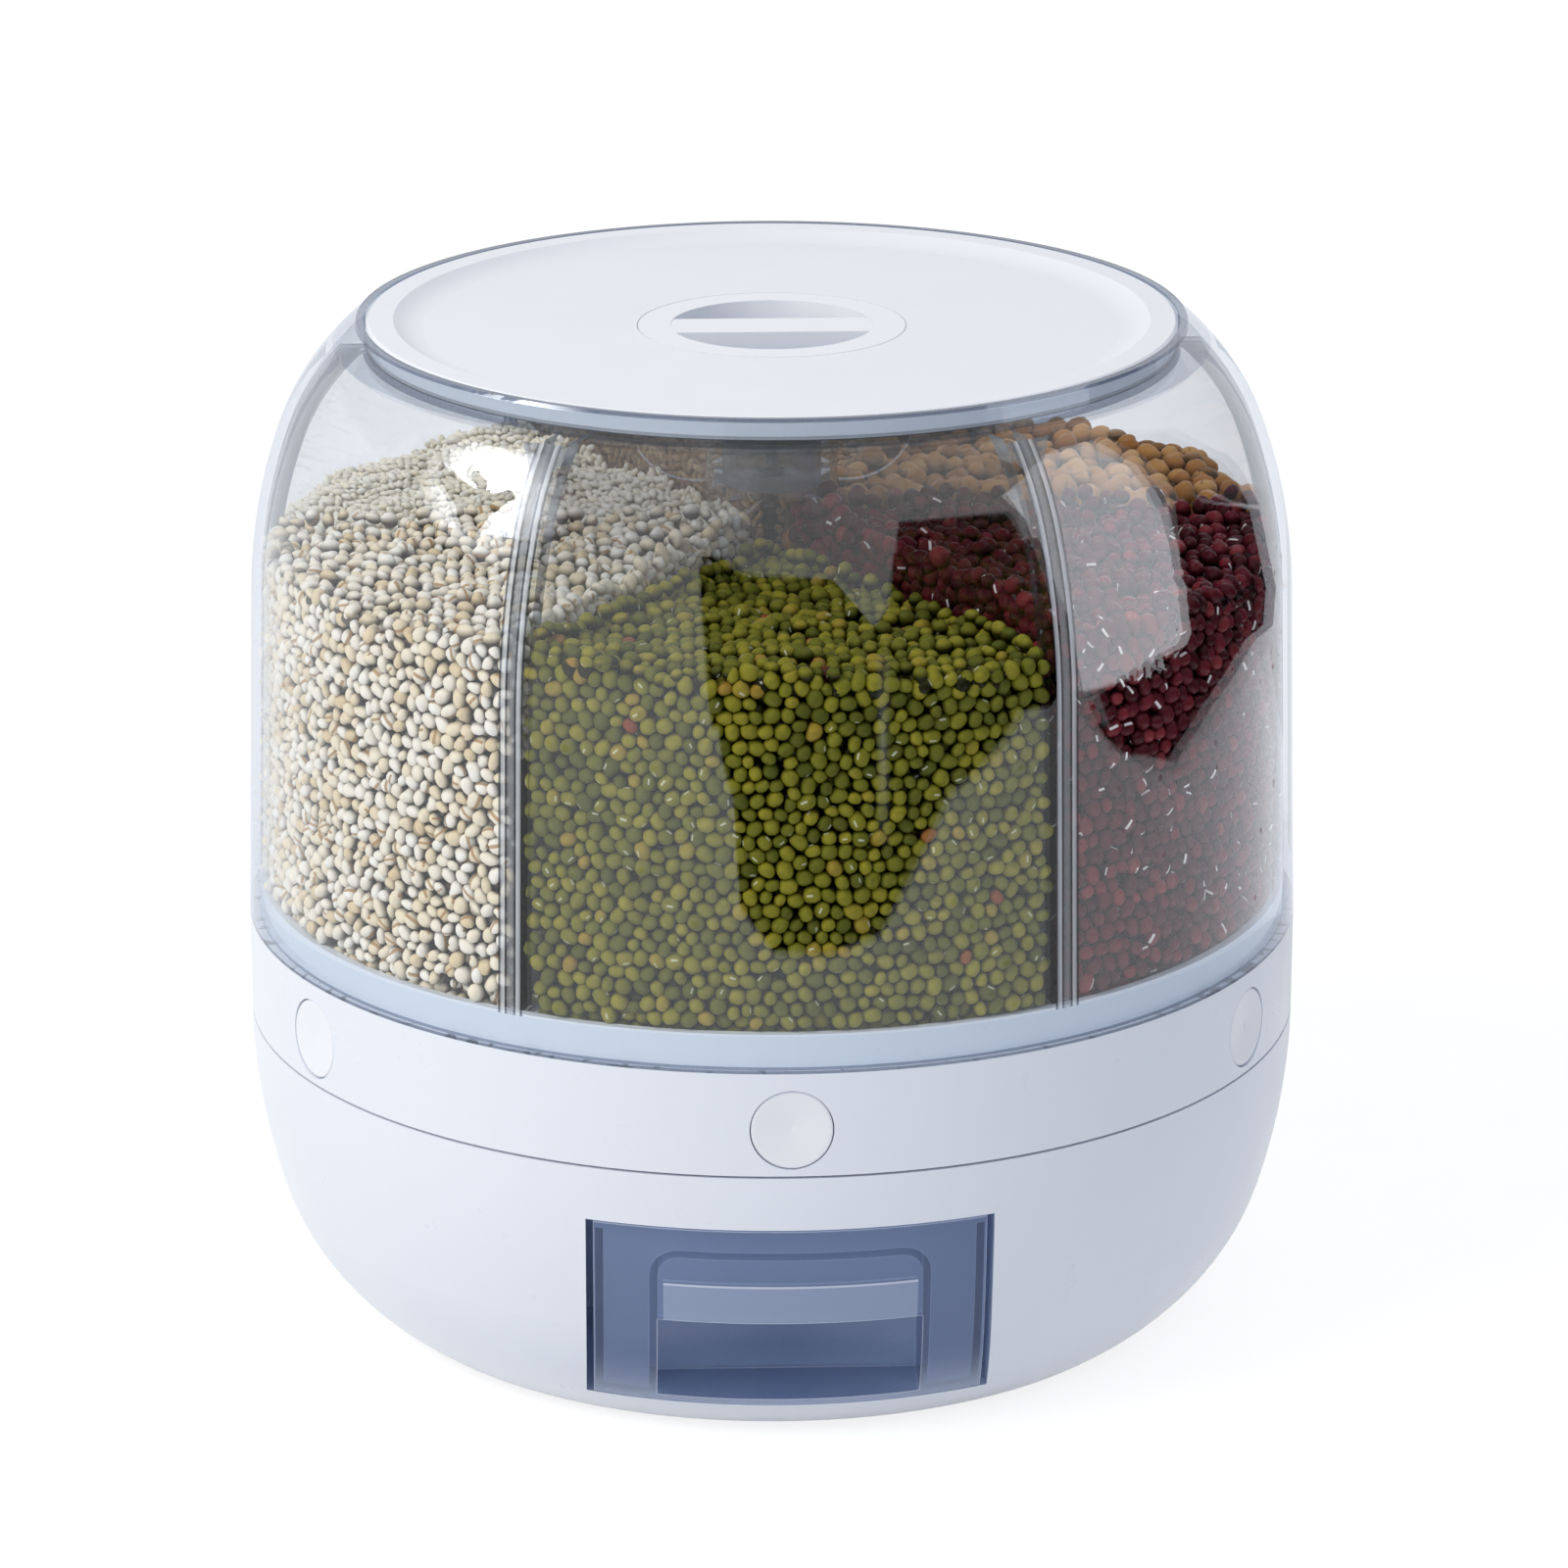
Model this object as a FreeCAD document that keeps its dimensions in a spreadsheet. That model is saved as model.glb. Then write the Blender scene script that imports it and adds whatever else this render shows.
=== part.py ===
import FreeCAD, Part
import math
import os
from types import SimpleNamespace

import Sketcher
from FreeCAD import Placement, Rotation, Vector

# Rotating grain dispenser: a clear domed drum with hopper floor turns on a white base with a drawer.
# Origin at the middle of the underside of the feet, +Z up, drawer towards -Y, all lengths in millimetres.

DRIVING = {
    # Feet and base shell
    "foot_rise": 2.0,
    "foot_recess": 0.6,
    "foot_radius": 8.0,
    "foot_clearance": 0.2,
    "foot_inset": 10.7,
    "body_radius": 150.2,
    "base_height": 85.6,
    "base_arc_upper": 169.5,
    "base_arc_split": 17.15,
    "base_arc_end": 56.57,
    "base_wall": 2.6,
    "plate_inset": 8.26,
    "plate_thickness": 2.0,
    "plate_clearance": 0.3,
    "plate_overlap": 8.0,
    "base_rim": 2.0,
    "deck_ledge": 6.5,
    "seam_gap": 0.7,
    # Deck, hub and roller track
    "deck_drop": 3.1,
    "deck_thickness": 2.5,
    "deck_clearance": 0.3,
    "track_gap": 17.5,
    "track_width": 8.0,
    "post_radius": 5.0,
    "post_inset": 22.7,
    "post_gap": 12.33,
    "screw_radius": 1.5,
    "screw_head_radius": 3.5,
    "screw_head": 1.4,
    "screw_length": 14.0,
    "screw_clearance": 0.2,
    "boss_wall": 5.0,
    "boss_height": 18.0,
    "boss_stand": 3.5,
    "bush_wall": 3.0,
    "bush_flange": 3.0,
    "bush_flange_thickness": 2.0,
    "spindle_radius": 6.0,
    "running_clearance": 0.05,
    "press_clearance": 0.02,
    "hub_gap": 0.5,
    "spindle_grip": 25.5,
    "washer_gap": 0.3,
    "washer_thickness": 1.5,
    "washer_radius": 11.0,
    "nut_flats": 17.0,
    "nut_height": 5.0,
    "spindle_tail": 1.0,
    # Roller bearing
    "roller_radius": 3.0,
    "roller_length": 7.0,
    "roller_gap": 0.15,
    "roller_count": 8,
    "cage_thickness": 2.1,
    "cage_clearance": 0.4,
    "pocket_clearance": 0.2,
    # Band with push buttons
    "section_count": 6,
    "band_height": 29.2,
    "band_wall": 2.8,
    "band_flange": 9.2,
    "band_flange_thickness": 2.8,
    "button_height": 13.1,
    "button_radius": 11.05,
    "button_clearance": 0.3,
    "button_depth": 8.0,
    "button_dish": 0.9,
    "button_rim": 1.2,
    "button_bevel": 0.4,
    "button_inset": 0.4,
    "sleeve_wall": 1.6,
    "sleeve_length": 17.0,
    # Sliding gates
    "gate_travel": 12.0,
    "gate_thickness": 2.0,
    "gate_gap": 0.5,
    "gate_width": 34.0,
    "gate_tail": 15.5,
    "gate_tab": 3.0,
    "gate_tab_width": 12.0,
    "gate_tab_height": 3.8,
    "window_clearance": 0.5,
    "stem_width": 8.0,
    "stem_height": 4.0,
    "stem_grip": 4.0,
    "peg_radius": 1.2,
    "peg_length": 10.0,
    "spring_inner": 1.5,
    "spring_wire": 0.6,
    "spring_height": 1.9,
    # Hopper floor and its cover
    "outlet_inset": 45.2,
    "outlet_width": 26.0,
    "outlet_depth": 11.0,
    "hopper_wall": 2.5,
    "hopper_inner": 28.0,
    "hopper_margin": 1.4,
    "hopper_lip": 1.2,
    "ridge_half": 2.0,
    "ridge_rise": 7.5,
    "rim_height": 10.0,
    "rim_wall": 2.5,
    "rim_clearance": 0.5,
    "hub_wall": 10.0,
    "spring_space": 33.0,
    "seat_wall": 2.5,
    "cover_thickness": 2.5,
    "cover_inner": 24.0,
    "cover_outlet_margin": 1.0,
    "cover_clearance": 0.5,
    "cover_screw_inset": 12.0,
    "cover_screw_count": 3,
    "cover_post_radius": 4.0,
    # Clear shell
    "shell_height": 170.9,
    "shell_wall": 2.8,
    "shell_lean": 1.64,
    "dome_arc_lower": 142.0,
    "shoulder_ratio": 2.05,
    "neck_inset": 33.2,
    "neck_angle": 51.85,
    "neck_lip": 1.0,
    "neck_bevel": 0.6,
    "collar_wall": 2.7,
    "collar_depth": 6.4,
    "ledge_width": 3.8,
    "ledge_thickness": 2.0,
    "rib_depth": 5.0,
    "rib_wall": 2.2,
    "rib_foot": 11.0,
    # Divider vanes and centre column
    "vane_thickness": 2.4,
    "vane_clearance": 0.3,
    "vane_top_gap": 2.0,
    "notch_radius": 40.5,
    "notch_corner": 19.0,
    "notch_depth": 41.6,
    "column_radius": 11.5,
    "column_wall": 2.2,
    "socket_radius": 18.6,
    "socket_bore": 14.4,
    "socket_top_drop": 34.4,
    "socket_depth": 15.0,
    "socket_floor": 2.5,
    "lock_height": 5.4,
    "lock_depth": 2.7,
    "slot_width": 6.8,
    # Lid and knob
    "lid_clearance": 0.6,
    "lid_bevel": 0.8,
    "lid_rim": 7.7,
    "lid_dish": 3.0,
    "lid_dish_arc": 12.0,
    "lid_wall": 2.5,
    "lid_skirt_wall": 2.5,
    "seal_height": 1.0,
    "seal_gap": 0.05,
    "seal_width": 2.1,
    "knob_radius": 37.5,
    "knob_clearance": 0.4,
    "knob_flange": 2.6,
    "knob_recess_radius": 28.5,
    "knob_recess_depth": 14.3,
    "knob_taper": 2.0,
    "knob_recess_floor": 20.0,
    "knob_recess_slope": 4.0,
    "knob_wall": 2.5,
    "knob_bar": 16.0,
    "knob_bar_drop": 0.2,
    "cup_wall": 2.5,
    "cup_gap": 0.3,
    "cup_corner": 5.0,
    "stem_radius": 13.9,
    "stem_collar": 0.4,
    "lug_reach": 2.4,
    "lug_height": 3.6,
    "lug_width": 6.0,
    "lug_rise": 1.0,
    "knob_screw_length": 32.0,
    "clip_radius": 17.5,
    "clip_thickness": 1.4,
    "clip_groove": 1.2,
    # Drawer, its bay and the chute
    "bay_half_width": 55.3,
    "bay_sill": 10.0,
    "bay_headroom": 9.1,
    "bay_depth": 94.0,
    "bay_wall": 2.0,
    "bay_clearance": 0.2,
    "rail_place": 42.0,
    "rail_half": 2.0,
    "rail_inset": 8.0,
    "opening_step": 0.5,
    "tray_side_gap": 2.0,
    "tray_body_inset": 0.5,
    "tray_lift": 0.5,
    "tray_back_gap": 2.8,
    "tray_headroom": 3.9,
    "tray_wall": 2.2,
    "panel_wall": 2.6,
    "panel_inset": 0.2,
    "panel_gap": 0.5,
    "grip_half_width": 36.0,
    "grip_lip": 28.3,
    "grip_drop": 7.0,
    "grip_depth": 42.2,
    "grip_corner": 6.0,
    "chute_wall": 1.8,
    "chute_mouth_margin": 4.0,
    "chute_foot_margin": 1.5,
    "chute_top_gap": 1.4,
    "chute_flange": 6.0,
    "chute_flange_thickness": 1.8,
    "chute_hole_clearance": 0.5,
}

doc = FreeCAD.newDocument("grain_dispenser")
sheet = doc.addObject("Spreadsheet::Sheet", "sizes")
levels = doc.addObject("App::VarSet", "levels")


class Size:
    """A number together with the expression that gives it."""

    def __init__(self, number, text):
        self.number = float(number)
        self.text = text

    def joined(self, number, sign, other):
        return Size(number, f"({self.text} {sign} {other.text})")

    def __add__(self, other):
        other = as_size(other)
        return self.joined(self.number + other.number, "+", other)

    def __sub__(self, other):
        other = as_size(other)
        return self.joined(self.number - other.number, "-", other)

    def __mul__(self, other):
        other = as_size(other)
        return self.joined(self.number * other.number, "*", other)

    def __truediv__(self, other):
        other = as_size(other)
        return self.joined(self.number / other.number, "/", other)

    def __neg__(self):
        return Size(-self.number, f"(0 - {self.text})")

    def __radd__(self, other):
        return as_size(other) + self

    def __rsub__(self, other):
        return as_size(other) - self

    def __rmul__(self, other):
        return as_size(other) * self


def as_size(value):
    return value if isinstance(value, Size) else Size(value, repr(float(value)))


def root(value):
    return Size(math.sqrt(value.number), f"sqrt({value.text})")


def cosine(degrees):
    degrees = as_size(degrees)
    return Size(math.cos(math.radians(degrees.number)), f"cos({degrees.text})")


def sine(degrees):
    degrees = as_size(degrees)
    return Size(math.sin(math.radians(degrees.number)), f"sin({degrees.text})")


def derive(name, value):
    """Keeps a worked-out size under a name of its own, bound to the sizes it comes from."""
    levels.addProperty("App::PropertyFloat", name)
    levels.setExpression(name, value.text)
    return Size(value.number, f"levels.{name}")


def fill_sheet():
    """Writes the driving sizes into the sheet and returns them by name."""
    table = SimpleNamespace()
    for row, (name, number) in enumerate(DRIVING.items(), start=1):
        sheet.set(f"A{row}", name)
        sheet.set(f"B{row}", str(number))
        sheet.setAlias(f"B{row}", name)
        setattr(table, name, Size(number, f"sizes.{name}"))
    return table


s = fill_sheet()
doc.recompute()

SECTIONS = int(DRIVING["section_count"])
SECTION_ANGLE = 360.0 / SECTIONS
FULL_TURN = 360.0
OVERRUN = 12.0


def origin_part(body, role):
    return next(f for f in body.Origin.OriginFeatures if f.Role == role)


def new_body(label):
    body = doc.addObject("PartDesign::Body", label)
    body.Label = label
    return body


def turn_about_axis(body, degrees):
    body.Placement = Placement(Vector(0, 0, 0), Rotation(Vector(0, 0, 1), degrees))


def arc_to_next(radius, left=True):
    """The edge from a corner to the next one is an arc, turning left or right."""
    return SimpleNamespace(radius=as_size(radius), left=left)


def edge_between(start, end, arc):
    """The sketch edge between two corners, and which of its ends are the start and the end."""
    if arc is None:
        return Part.LineSegment(start, end), 1, 2
    chord = end - start
    reach = math.sqrt(max(arc.radius.number**2 - (chord.Length / 2) ** 2, 0.0))
    side = Vector(-chord.y, chord.x, 0).normalize() * reach
    centre = (start + end) * 0.5 + (side if arc.left else side * -1.0)
    circle = Part.Circle(centre, Vector(0, 0, 1), arc.radius.number)
    first, last = (start, end) if arc.left else (end, start)
    begin = math.atan2(first.y - centre.y, first.x - centre.x)
    finish = math.atan2(last.y - centre.y, last.x - centre.x)
    curve = Part.ArcOfCircle(circle, begin, finish)
    return (curve, 1, 2) if arc.left else (curve, 2, 1)


def place_point(sketch, edge, point, place):
    for kind, value in (("DistanceX", place[0]), ("DistanceY", place[1])):
        index = sketch.addConstraint(Sketcher.Constraint(kind, -1, 1, edge, point, value.number))
        sketch.setExpression(f"Constraints[{index}]", value.text)


def fix_radius(sketch, edge, radius):
    index = sketch.addConstraint(Sketcher.Constraint("Radius", edge, radius.number))
    sketch.setExpression(f"Constraints[{index}]", radius.text)


def draw_loop(sketch, corners):
    """A closed outline through corners (x, y) or (x, y, arc), every corner fixed by its own sizes."""
    places = [(as_size(c[0]), as_size(c[1])) for c in corners]
    arcs = [c[2] if len(c) > 2 else None for c in corners]
    points = [Vector(x.number, y.number, 0) for x, y in places]
    drawn = []
    for i, point in enumerate(points):
        curve, first, last = edge_between(point, points[(i + 1) % len(points)], arcs[i])
        drawn.append((sketch.addGeometry(curve, False), first, last))
    for i, (edge, first, last) in enumerate(drawn):
        after = drawn[(i + 1) % len(drawn)]
        sketch.addConstraint(Sketcher.Constraint("Coincident", edge, last, after[0], after[1]))
        place_point(sketch, edge, first, places[i])
        if arcs[i] is not None:
            fix_radius(sketch, edge, arcs[i].radius)


def draw_circle(sketch, x, y, radius):
    x, y, radius = as_size(x), as_size(y), as_size(radius)
    circle = Part.Circle(Vector(x.number, y.number, 0), Vector(0, 0, 1), radius.number)
    edge = sketch.addGeometry(circle, False)
    place_point(sketch, edge, 3, (x, y))
    fix_radius(sketch, edge, radius)


def new_sketch(body, name, role, lift=0.0, shift=0.0):
    """A sketch on one of the body's own planes, lifted along its normal and shifted along its y axis."""
    sketch = body.newObject("Sketcher::SketchObject", f"{body.Name}_{name}")
    sketch.AttachmentSupport = (origin_part(body, role), [""])
    sketch.MapMode = "FlatFace"
    lift, shift = as_size(lift), as_size(shift)
    sketch.AttachmentOffset = Placement(Vector(0, shift.number, lift.number), Rotation())
    sketch.setExpression("AttachmentOffset.Base.y", shift.text)
    sketch.setExpression("AttachmentOffset.Base.z", lift.text)
    return sketch


def loop_sketch(body, name, role, loops, lift=0.0, shift=0.0):
    sketch = new_sketch(body, name, role, lift, shift)
    for corners in loops:
        draw_loop(sketch, corners)
    return sketch


def circle_sketch(body, name, role, circles, lift=0.0):
    sketch = new_sketch(body, name, role, lift)
    for x, y, radius in circles:
        draw_circle(sketch, x, y, radius)
    return sketch


def rectangle(x_low, y_low, x_high, y_high):
    return [(x_low, y_low), (x_high, y_low), (x_high, y_high), (x_low, y_high)]


def finish_feature(body, feature, cuts):
    """Recomputes and makes sure that a cut takes material away and an addition adds some."""
    before = body.Shape.Volume if not body.Shape.isNull() else 0.0
    doc.recompute()
    body.Tip = feature
    doc.recompute()
    change = feature.Shape.Volume - before
    if (change >= 0) if cuts else (change <= 0):
        raise RuntimeError(f"{feature.Name} changes nothing")
    return feature


def extrude(body, kind, name, sketch, length, reverse, symmetric):
    feature = body.newObject(f"PartDesign::{kind}", f"{body.Name}_{name}")
    feature.Profile = sketch
    feature.Type = "Length"
    length = as_size(length)
    feature.Length = length.number
    feature.setExpression("Length", length.text)
    feature.SideType = "Symmetric" if symmetric else "One side"
    feature.Reversed = reverse
    return finish_feature(body, feature, kind == "Pocket")


def pad(body, name, sketch, length, reverse=False, symmetric=False):
    return extrude(body, "Pad", name, sketch, length, reverse, symmetric)


def pocket(body, name, sketch, length, reverse=False, symmetric=False):
    return extrude(body, "Pocket", name, sketch, length, reverse, symmetric)


def turned(body, kind, name, sketch, angle=FULL_TURN, axis="V_Axis", symmetric=False):
    feature = body.newObject(f"PartDesign::{kind}", f"{body.Name}_{name}")
    feature.Profile = sketch
    feature.ReferenceAxis = (sketch, [axis])
    feature.Angle = angle
    feature.Midplane = symmetric
    return finish_feature(body, feature, kind == "Groove")


def revolve(body, name, loops, **options):
    sketch = loop_sketch(body, f"{name}_outline", "XZ_Plane", loops)
    return turned(body, "Revolution", name, sketch, **options)


def groove(body, name, loops, **options):
    sketch = loop_sketch(body, f"{name}_outline", "XZ_Plane", loops)
    return turned(body, "Groove", name, sketch, **options)


def polar(body, feature, count, cuts):
    """Copies a feature evenly about the vertical axis."""
    pattern = body.newObject("PartDesign::PolarPattern", f"{feature.Name}_ring")
    pattern.Originals = [feature]
    pattern.Axis = (origin_part(body, "Z_Axis"), [""])
    pattern.Angle = FULL_TURN
    pattern.setExpression("Occurrences", count.text)
    return finish_feature(body, pattern, cuts)


def loft(body, kind, name, sketches, cuts):
    feature = body.newObject(f"PartDesign::{kind}", f"{body.Name}_{name}")
    feature.Profile = sketches[0]
    feature.Sections = sketches[1:]
    feature.Ruled = True
    return finish_feature(body, feature, cuts)


# Heights above the ground, from the feet up
base_bottom = s.foot_rise
base_top = derive("base_top", base_bottom + s.base_height)
plate_top = derive("plate_top", base_bottom + s.plate_thickness)
rim_floor = derive("rim_floor", plate_top + s.base_rim)
deck_top = derive("deck_top", base_top - s.deck_drop)
deck_bottom = derive("deck_bottom", deck_top - s.deck_thickness)
band_bottom = derive("band_bottom", base_top + s.seam_gap)
band_top = derive("band_top", band_bottom + s.band_height)
button_z = derive("button_z", band_bottom + s.button_height)
gate_bottom = derive("gate_bottom", button_z - s.gate_thickness / 2)
gate_top = derive("gate_top", gate_bottom + s.gate_thickness)
throat_bottom = derive("throat_bottom", gate_top + s.gate_gap)
cover_top = derive("cover_top", gate_bottom - s.gate_gap)
cover_bottom = derive("cover_bottom", cover_top - s.cover_thickness)
roller_z = derive("roller_z", cover_bottom - s.roller_gap - s.roller_radius)
track_top = derive("track_top", roller_z - s.roller_radius - s.roller_gap)
spring_z = derive("spring_z", gate_bottom + s.spring_height)
floor_top = derive("floor_top", band_top + s.ridge_rise)
floor_under = derive("floor_under", floor_top - s.hopper_wall)
rim_top = derive("rim_top", band_top + s.rim_height)
boss_top = derive("boss_top", deck_top + s.boss_stand)
boss_bottom = derive("boss_bottom", boss_top - s.boss_height)
bush_top = derive("bush_top", boss_top + s.bush_flange_thickness)
hub_bottom = derive("hub_bottom", bush_top + s.hub_gap)
spindle_top = derive("spindle_top", hub_bottom + s.spindle_grip)
washer_top = derive("washer_top", boss_bottom - s.washer_gap)
nut_top = derive("nut_top", washer_top - s.washer_thickness)
nut_bottom = derive("nut_bottom", nut_top - s.nut_height)
shell_top = derive("shell_top", band_top + s.shell_height)
ledge_top = derive("ledge_top", shell_top - s.collar_depth)
ledge_bottom = derive("ledge_bottom", ledge_top - s.ledge_thickness)
vane_top = derive("vane_top", ledge_bottom - s.vane_top_gap)
notch_bottom = derive("notch_bottom", vane_top - s.notch_depth + s.vane_top_gap * 2)
socket_top = derive("socket_top", shell_top - s.socket_top_drop)
socket_low = derive("socket_low", socket_top - s.socket_depth)
bay_floor = derive("bay_floor", base_bottom + s.bay_sill)
bay_roof = derive("bay_roof", deck_bottom - s.bay_headroom)
opening_top = derive("opening_top", bay_roof - s.opening_step)
tray_bottom = derive("tray_bottom", bay_floor + s.tray_lift)
tray_inside = derive("tray_inside", tray_bottom + s.tray_wall)
tray_rim = derive("tray_rim", bay_roof - s.tray_headroom)
grip_roof = derive("grip_roof", tray_rim - s.grip_drop)
lid_plane = derive("lid_plane", shell_top - s.lid_dish)

# Radii shared by several pieces
outlet_circle = derive("outlet_circle", s.body_radius - s.outlet_inset)
outlet_inner = derive("outlet_inner", outlet_circle - s.outlet_depth / 2)
track_outer = derive("track_outer", outlet_inner - s.track_gap)
track_inner = derive("track_inner", track_outer - s.track_width)
gate_inner = derive("gate_inner", outlet_inner - s.gate_tail)
spring_seat = derive("spring_seat", gate_inner - s.spring_space)
cover_screw_circle = derive("cover_screw_circle", track_inner - s.cover_screw_inset)
spindle_bore = derive("spindle_bore", s.spindle_radius + s.running_clearance)
bush_outer = derive("bush_outer", spindle_bore + s.bush_wall)
neck_radius = derive("neck_radius", s.body_radius - s.neck_inset)
collar_inner = derive("collar_inner", neck_radius - s.collar_wall)
lid_radius = derive("lid_radius", collar_inner - s.lid_clearance)
floor_rim_outer = derive("floor_rim_outer", s.body_radius - s.shell_wall - s.rim_clearance)
floor_rim_inner = derive("floor_rim_inner", floor_rim_outer - s.rim_wall)
sleeve_inner_end = derive("sleeve_inner_end", s.body_radius - s.sleeve_length)
button_face = derive("button_face", s.body_radius - s.button_inset)
button_back = derive("button_back", button_face - s.button_depth)
gate_outer = derive("gate_outer", sleeve_inner_end - s.cover_clearance)
panel_back = derive("panel_back", s.panel_inset + s.panel_wall)
bay_skin = derive("bay_skin", s.base_wall + s.bay_clearance)
tray_half = derive("tray_half", s.bay_half_width - s.tray_side_gap - s.tray_body_inset)
panel_half = derive("panel_half", s.bay_half_width - s.tray_side_gap)
bay_back = derive("bay_back", s.body_radius - s.bay_depth)
tray_back = derive("tray_back", bay_back + s.tray_back_gap)
grip_back = derive("grip_back", s.body_radius - s.grip_depth)

# The base's outer curve: two tangent arcs, the upper one vertical at the seam
upper_r = derive("upper_r", s.body_radius - s.base_arc_upper)
split_cos = cosine(s.base_arc_split)
split_sin = sine(s.base_arc_split)
lower_height = s.base_height - s.base_arc_upper * split_sin
lower_arc = derive("lower_arc", lower_height / (sine(s.base_arc_end) - split_sin))
lower_r = derive("lower_r", upper_r + (s.base_arc_upper - lower_arc) * split_cos)
lower_z = derive("lower_z", base_top - (s.base_arc_upper - lower_arc) * split_sin)
plate_radius = derive("plate_radius", lower_r + lower_arc * cosine(s.base_arc_end) - s.plate_inset)
foot_circle = derive("foot_circle", plate_radius - s.foot_inset)
post_circle = derive("post_circle", plate_radius - s.post_inset)
post_x = derive("post_x", s.bay_half_width + s.bay_wall + s.post_gap)
post_y = derive("post_y", root(post_circle * post_circle - post_x * post_x))


def base_curve_split(depth):
    """The joint of the base's two arcs, a given depth inside its outer face."""
    arc = s.base_arc_upper - depth
    return upper_r + arc * split_cos, base_top - arc * split_sin


def base_upper_at(depth, height):
    """Radius of the upper arc at a height."""
    arc = s.base_arc_upper - depth
    drop = base_top - height
    return upper_r + root(arc * arc - drop * drop)


def base_lower_at(depth, height):
    """Radius of the lower arc at a height."""
    arc = lower_arc - depth
    drop = lower_z - height
    return lower_r + root(arc * arc - drop * drop)


def base_curve_up(depth, low, high):
    """Corners up the base's curve from one height to another, the last one without an edge of its own."""
    split = base_curve_split(depth)
    return [
        (base_lower_at(depth, low), low, arc_to_next(lower_arc - depth)),
        (split[0], split[1], arc_to_next(s.base_arc_upper - depth)),
        (base_upper_at(depth, high), high),
    ]


def base_curve_down(depth, low, high):
    """The same curve from top to bottom."""
    split = base_curve_split(depth)
    return [
        (base_upper_at(depth, high), high, arc_to_next(s.base_arc_upper - depth, left=False)),
        (split[0], split[1], arc_to_next(lower_arc - depth, left=False)),
        (base_lower_at(depth, low), low),
    ]


# The drum's outer curve: a leaning wall, then two tangent arcs that end at the neck
shoulder_arc = derive("shoulder_arc", s.neck_inset * s.shoulder_ratio)
neck_z = derive("neck_z", shell_top - s.neck_lip)
high_r = derive("high_r", neck_radius - shoulder_arc * cosine(s.neck_angle))
high_z = derive("high_z", neck_z - shoulder_arc * sine(s.neck_angle))
lean_cos = cosine(s.shell_lean)
lean_sin = sine(s.shell_lean)
along_high = derive("along_high", (s.body_radius - high_r) * lean_sin + (high_z - band_top) * lean_cos)
inside_high = derive("inside_high", (s.body_radius - high_r) * lean_cos - (high_z - band_top) * lean_sin)
arc_rest = derive("arc_rest", s.dome_arc_lower - shoulder_arc)
arc_miss = derive("arc_miss", s.dome_arc_lower - inside_high)
straight = derive("straight", along_high - root(arc_rest * arc_rest - arc_miss * arc_miss))
low_r = derive("low_r", s.body_radius - straight * lean_sin - s.dome_arc_lower * lean_cos)
low_z = derive("low_z", band_top + straight * lean_cos - s.dome_arc_lower * lean_sin)
joint_x = (high_r - low_r) / arc_rest
joint_y = (high_z - low_z) / arc_rest


def shell_curve_up(depth, high, low=band_top):
    """Corners up the drum's curve, a given depth inside its outer face, from its foot to a height."""
    arc = s.dome_arc_lower - depth
    reach = shoulder_arc - depth
    climb = high - high_z
    wall = s.body_radius - (low - band_top) * lean_sin / lean_cos - depth / lean_cos
    return [
        (wall, low),
        (low_r + arc * lean_cos, low_z + arc * lean_sin, arc_to_next(arc)),
        (low_r + arc * joint_x, low_z + arc * joint_y, arc_to_next(reach)),
        (high_r + root(reach * reach - climb * climb), high),
    ]


def shell_curve_down(depth, high, low=band_top):
    """The same curve from top to foot."""
    wall, first, second, last = shell_curve_up(depth, high, low)
    return [
        (last[0], last[1], arc_to_next(second[2].radius, left=False)),
        (second[0], second[1], arc_to_next(first[2].radius, left=False)),
        (first[0], first[1]),
        wall,
    ]


INNER_STEPS = (0.3,)


def base_inside_up(depth, low, high):
    """Corners up the base's inner face, drawn straight, a given depth inside the outer curve."""
    lowest = (base_lower_at(depth, low), low)
    between = [(base_lower_at(depth, low + (lower_z - low) * part), low + (lower_z - low) * part)
               for part in INNER_STEPS]
    split = base_curve_split(depth)
    return [lowest] + between + [split, (base_upper_at(depth, high), high)]


def base_shell():
    body = new_body("base_shell")
    ledge_inner = s.body_radius - s.base_wall - s.deck_ledge
    ledge_low = deck_bottom - s.base_wall
    plate_seat = plate_radius - s.plate_overlap
    corners = base_curve_up(as_size(0), base_bottom, base_top)
    corners += [
        (s.body_radius - s.base_wall, base_top),
        (s.body_radius - s.base_wall, deck_bottom),
        (ledge_inner, deck_bottom),
        (ledge_inner, ledge_low),
    ]
    corners += reversed(base_inside_up(s.base_wall, rim_floor, ledge_low))
    corners += [
        (plate_seat, rim_floor),
        (plate_seat, plate_top),
        (plate_radius + s.plate_clearance, plate_top),
        (plate_radius + s.plate_clearance, base_bottom),
    ]
    revolve(body, "bowl", [corners])
    mouth = rectangle(-s.bay_half_width, bay_floor, s.bay_half_width, opening_top)
    front = loop_sketch(body, "mouth_outline", "XZ_Plane", [mouth], lift=grip_back - OVERRUN)
    pocket(body, "mouth", front, s.body_radius - grip_back + 2 * OVERRUN, reverse=True)
    return body


def ring_places(circle, start, count):
    """Places spaced evenly on a circle, as sizes."""
    step = FULL_TURN / count
    return [(circle * cosine(start + i * step), circle * sine(start + i * step)) for i in range(count)]


def post_places():
    return [(post_x, post_y), (-post_x, post_y), (-post_x, -post_y), (post_x, -post_y)]


FOOT_START = 45.0
FOOT_COUNT = 4


def foot_places():
    return ring_places(foot_circle, FOOT_START, FOOT_COUNT)


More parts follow.
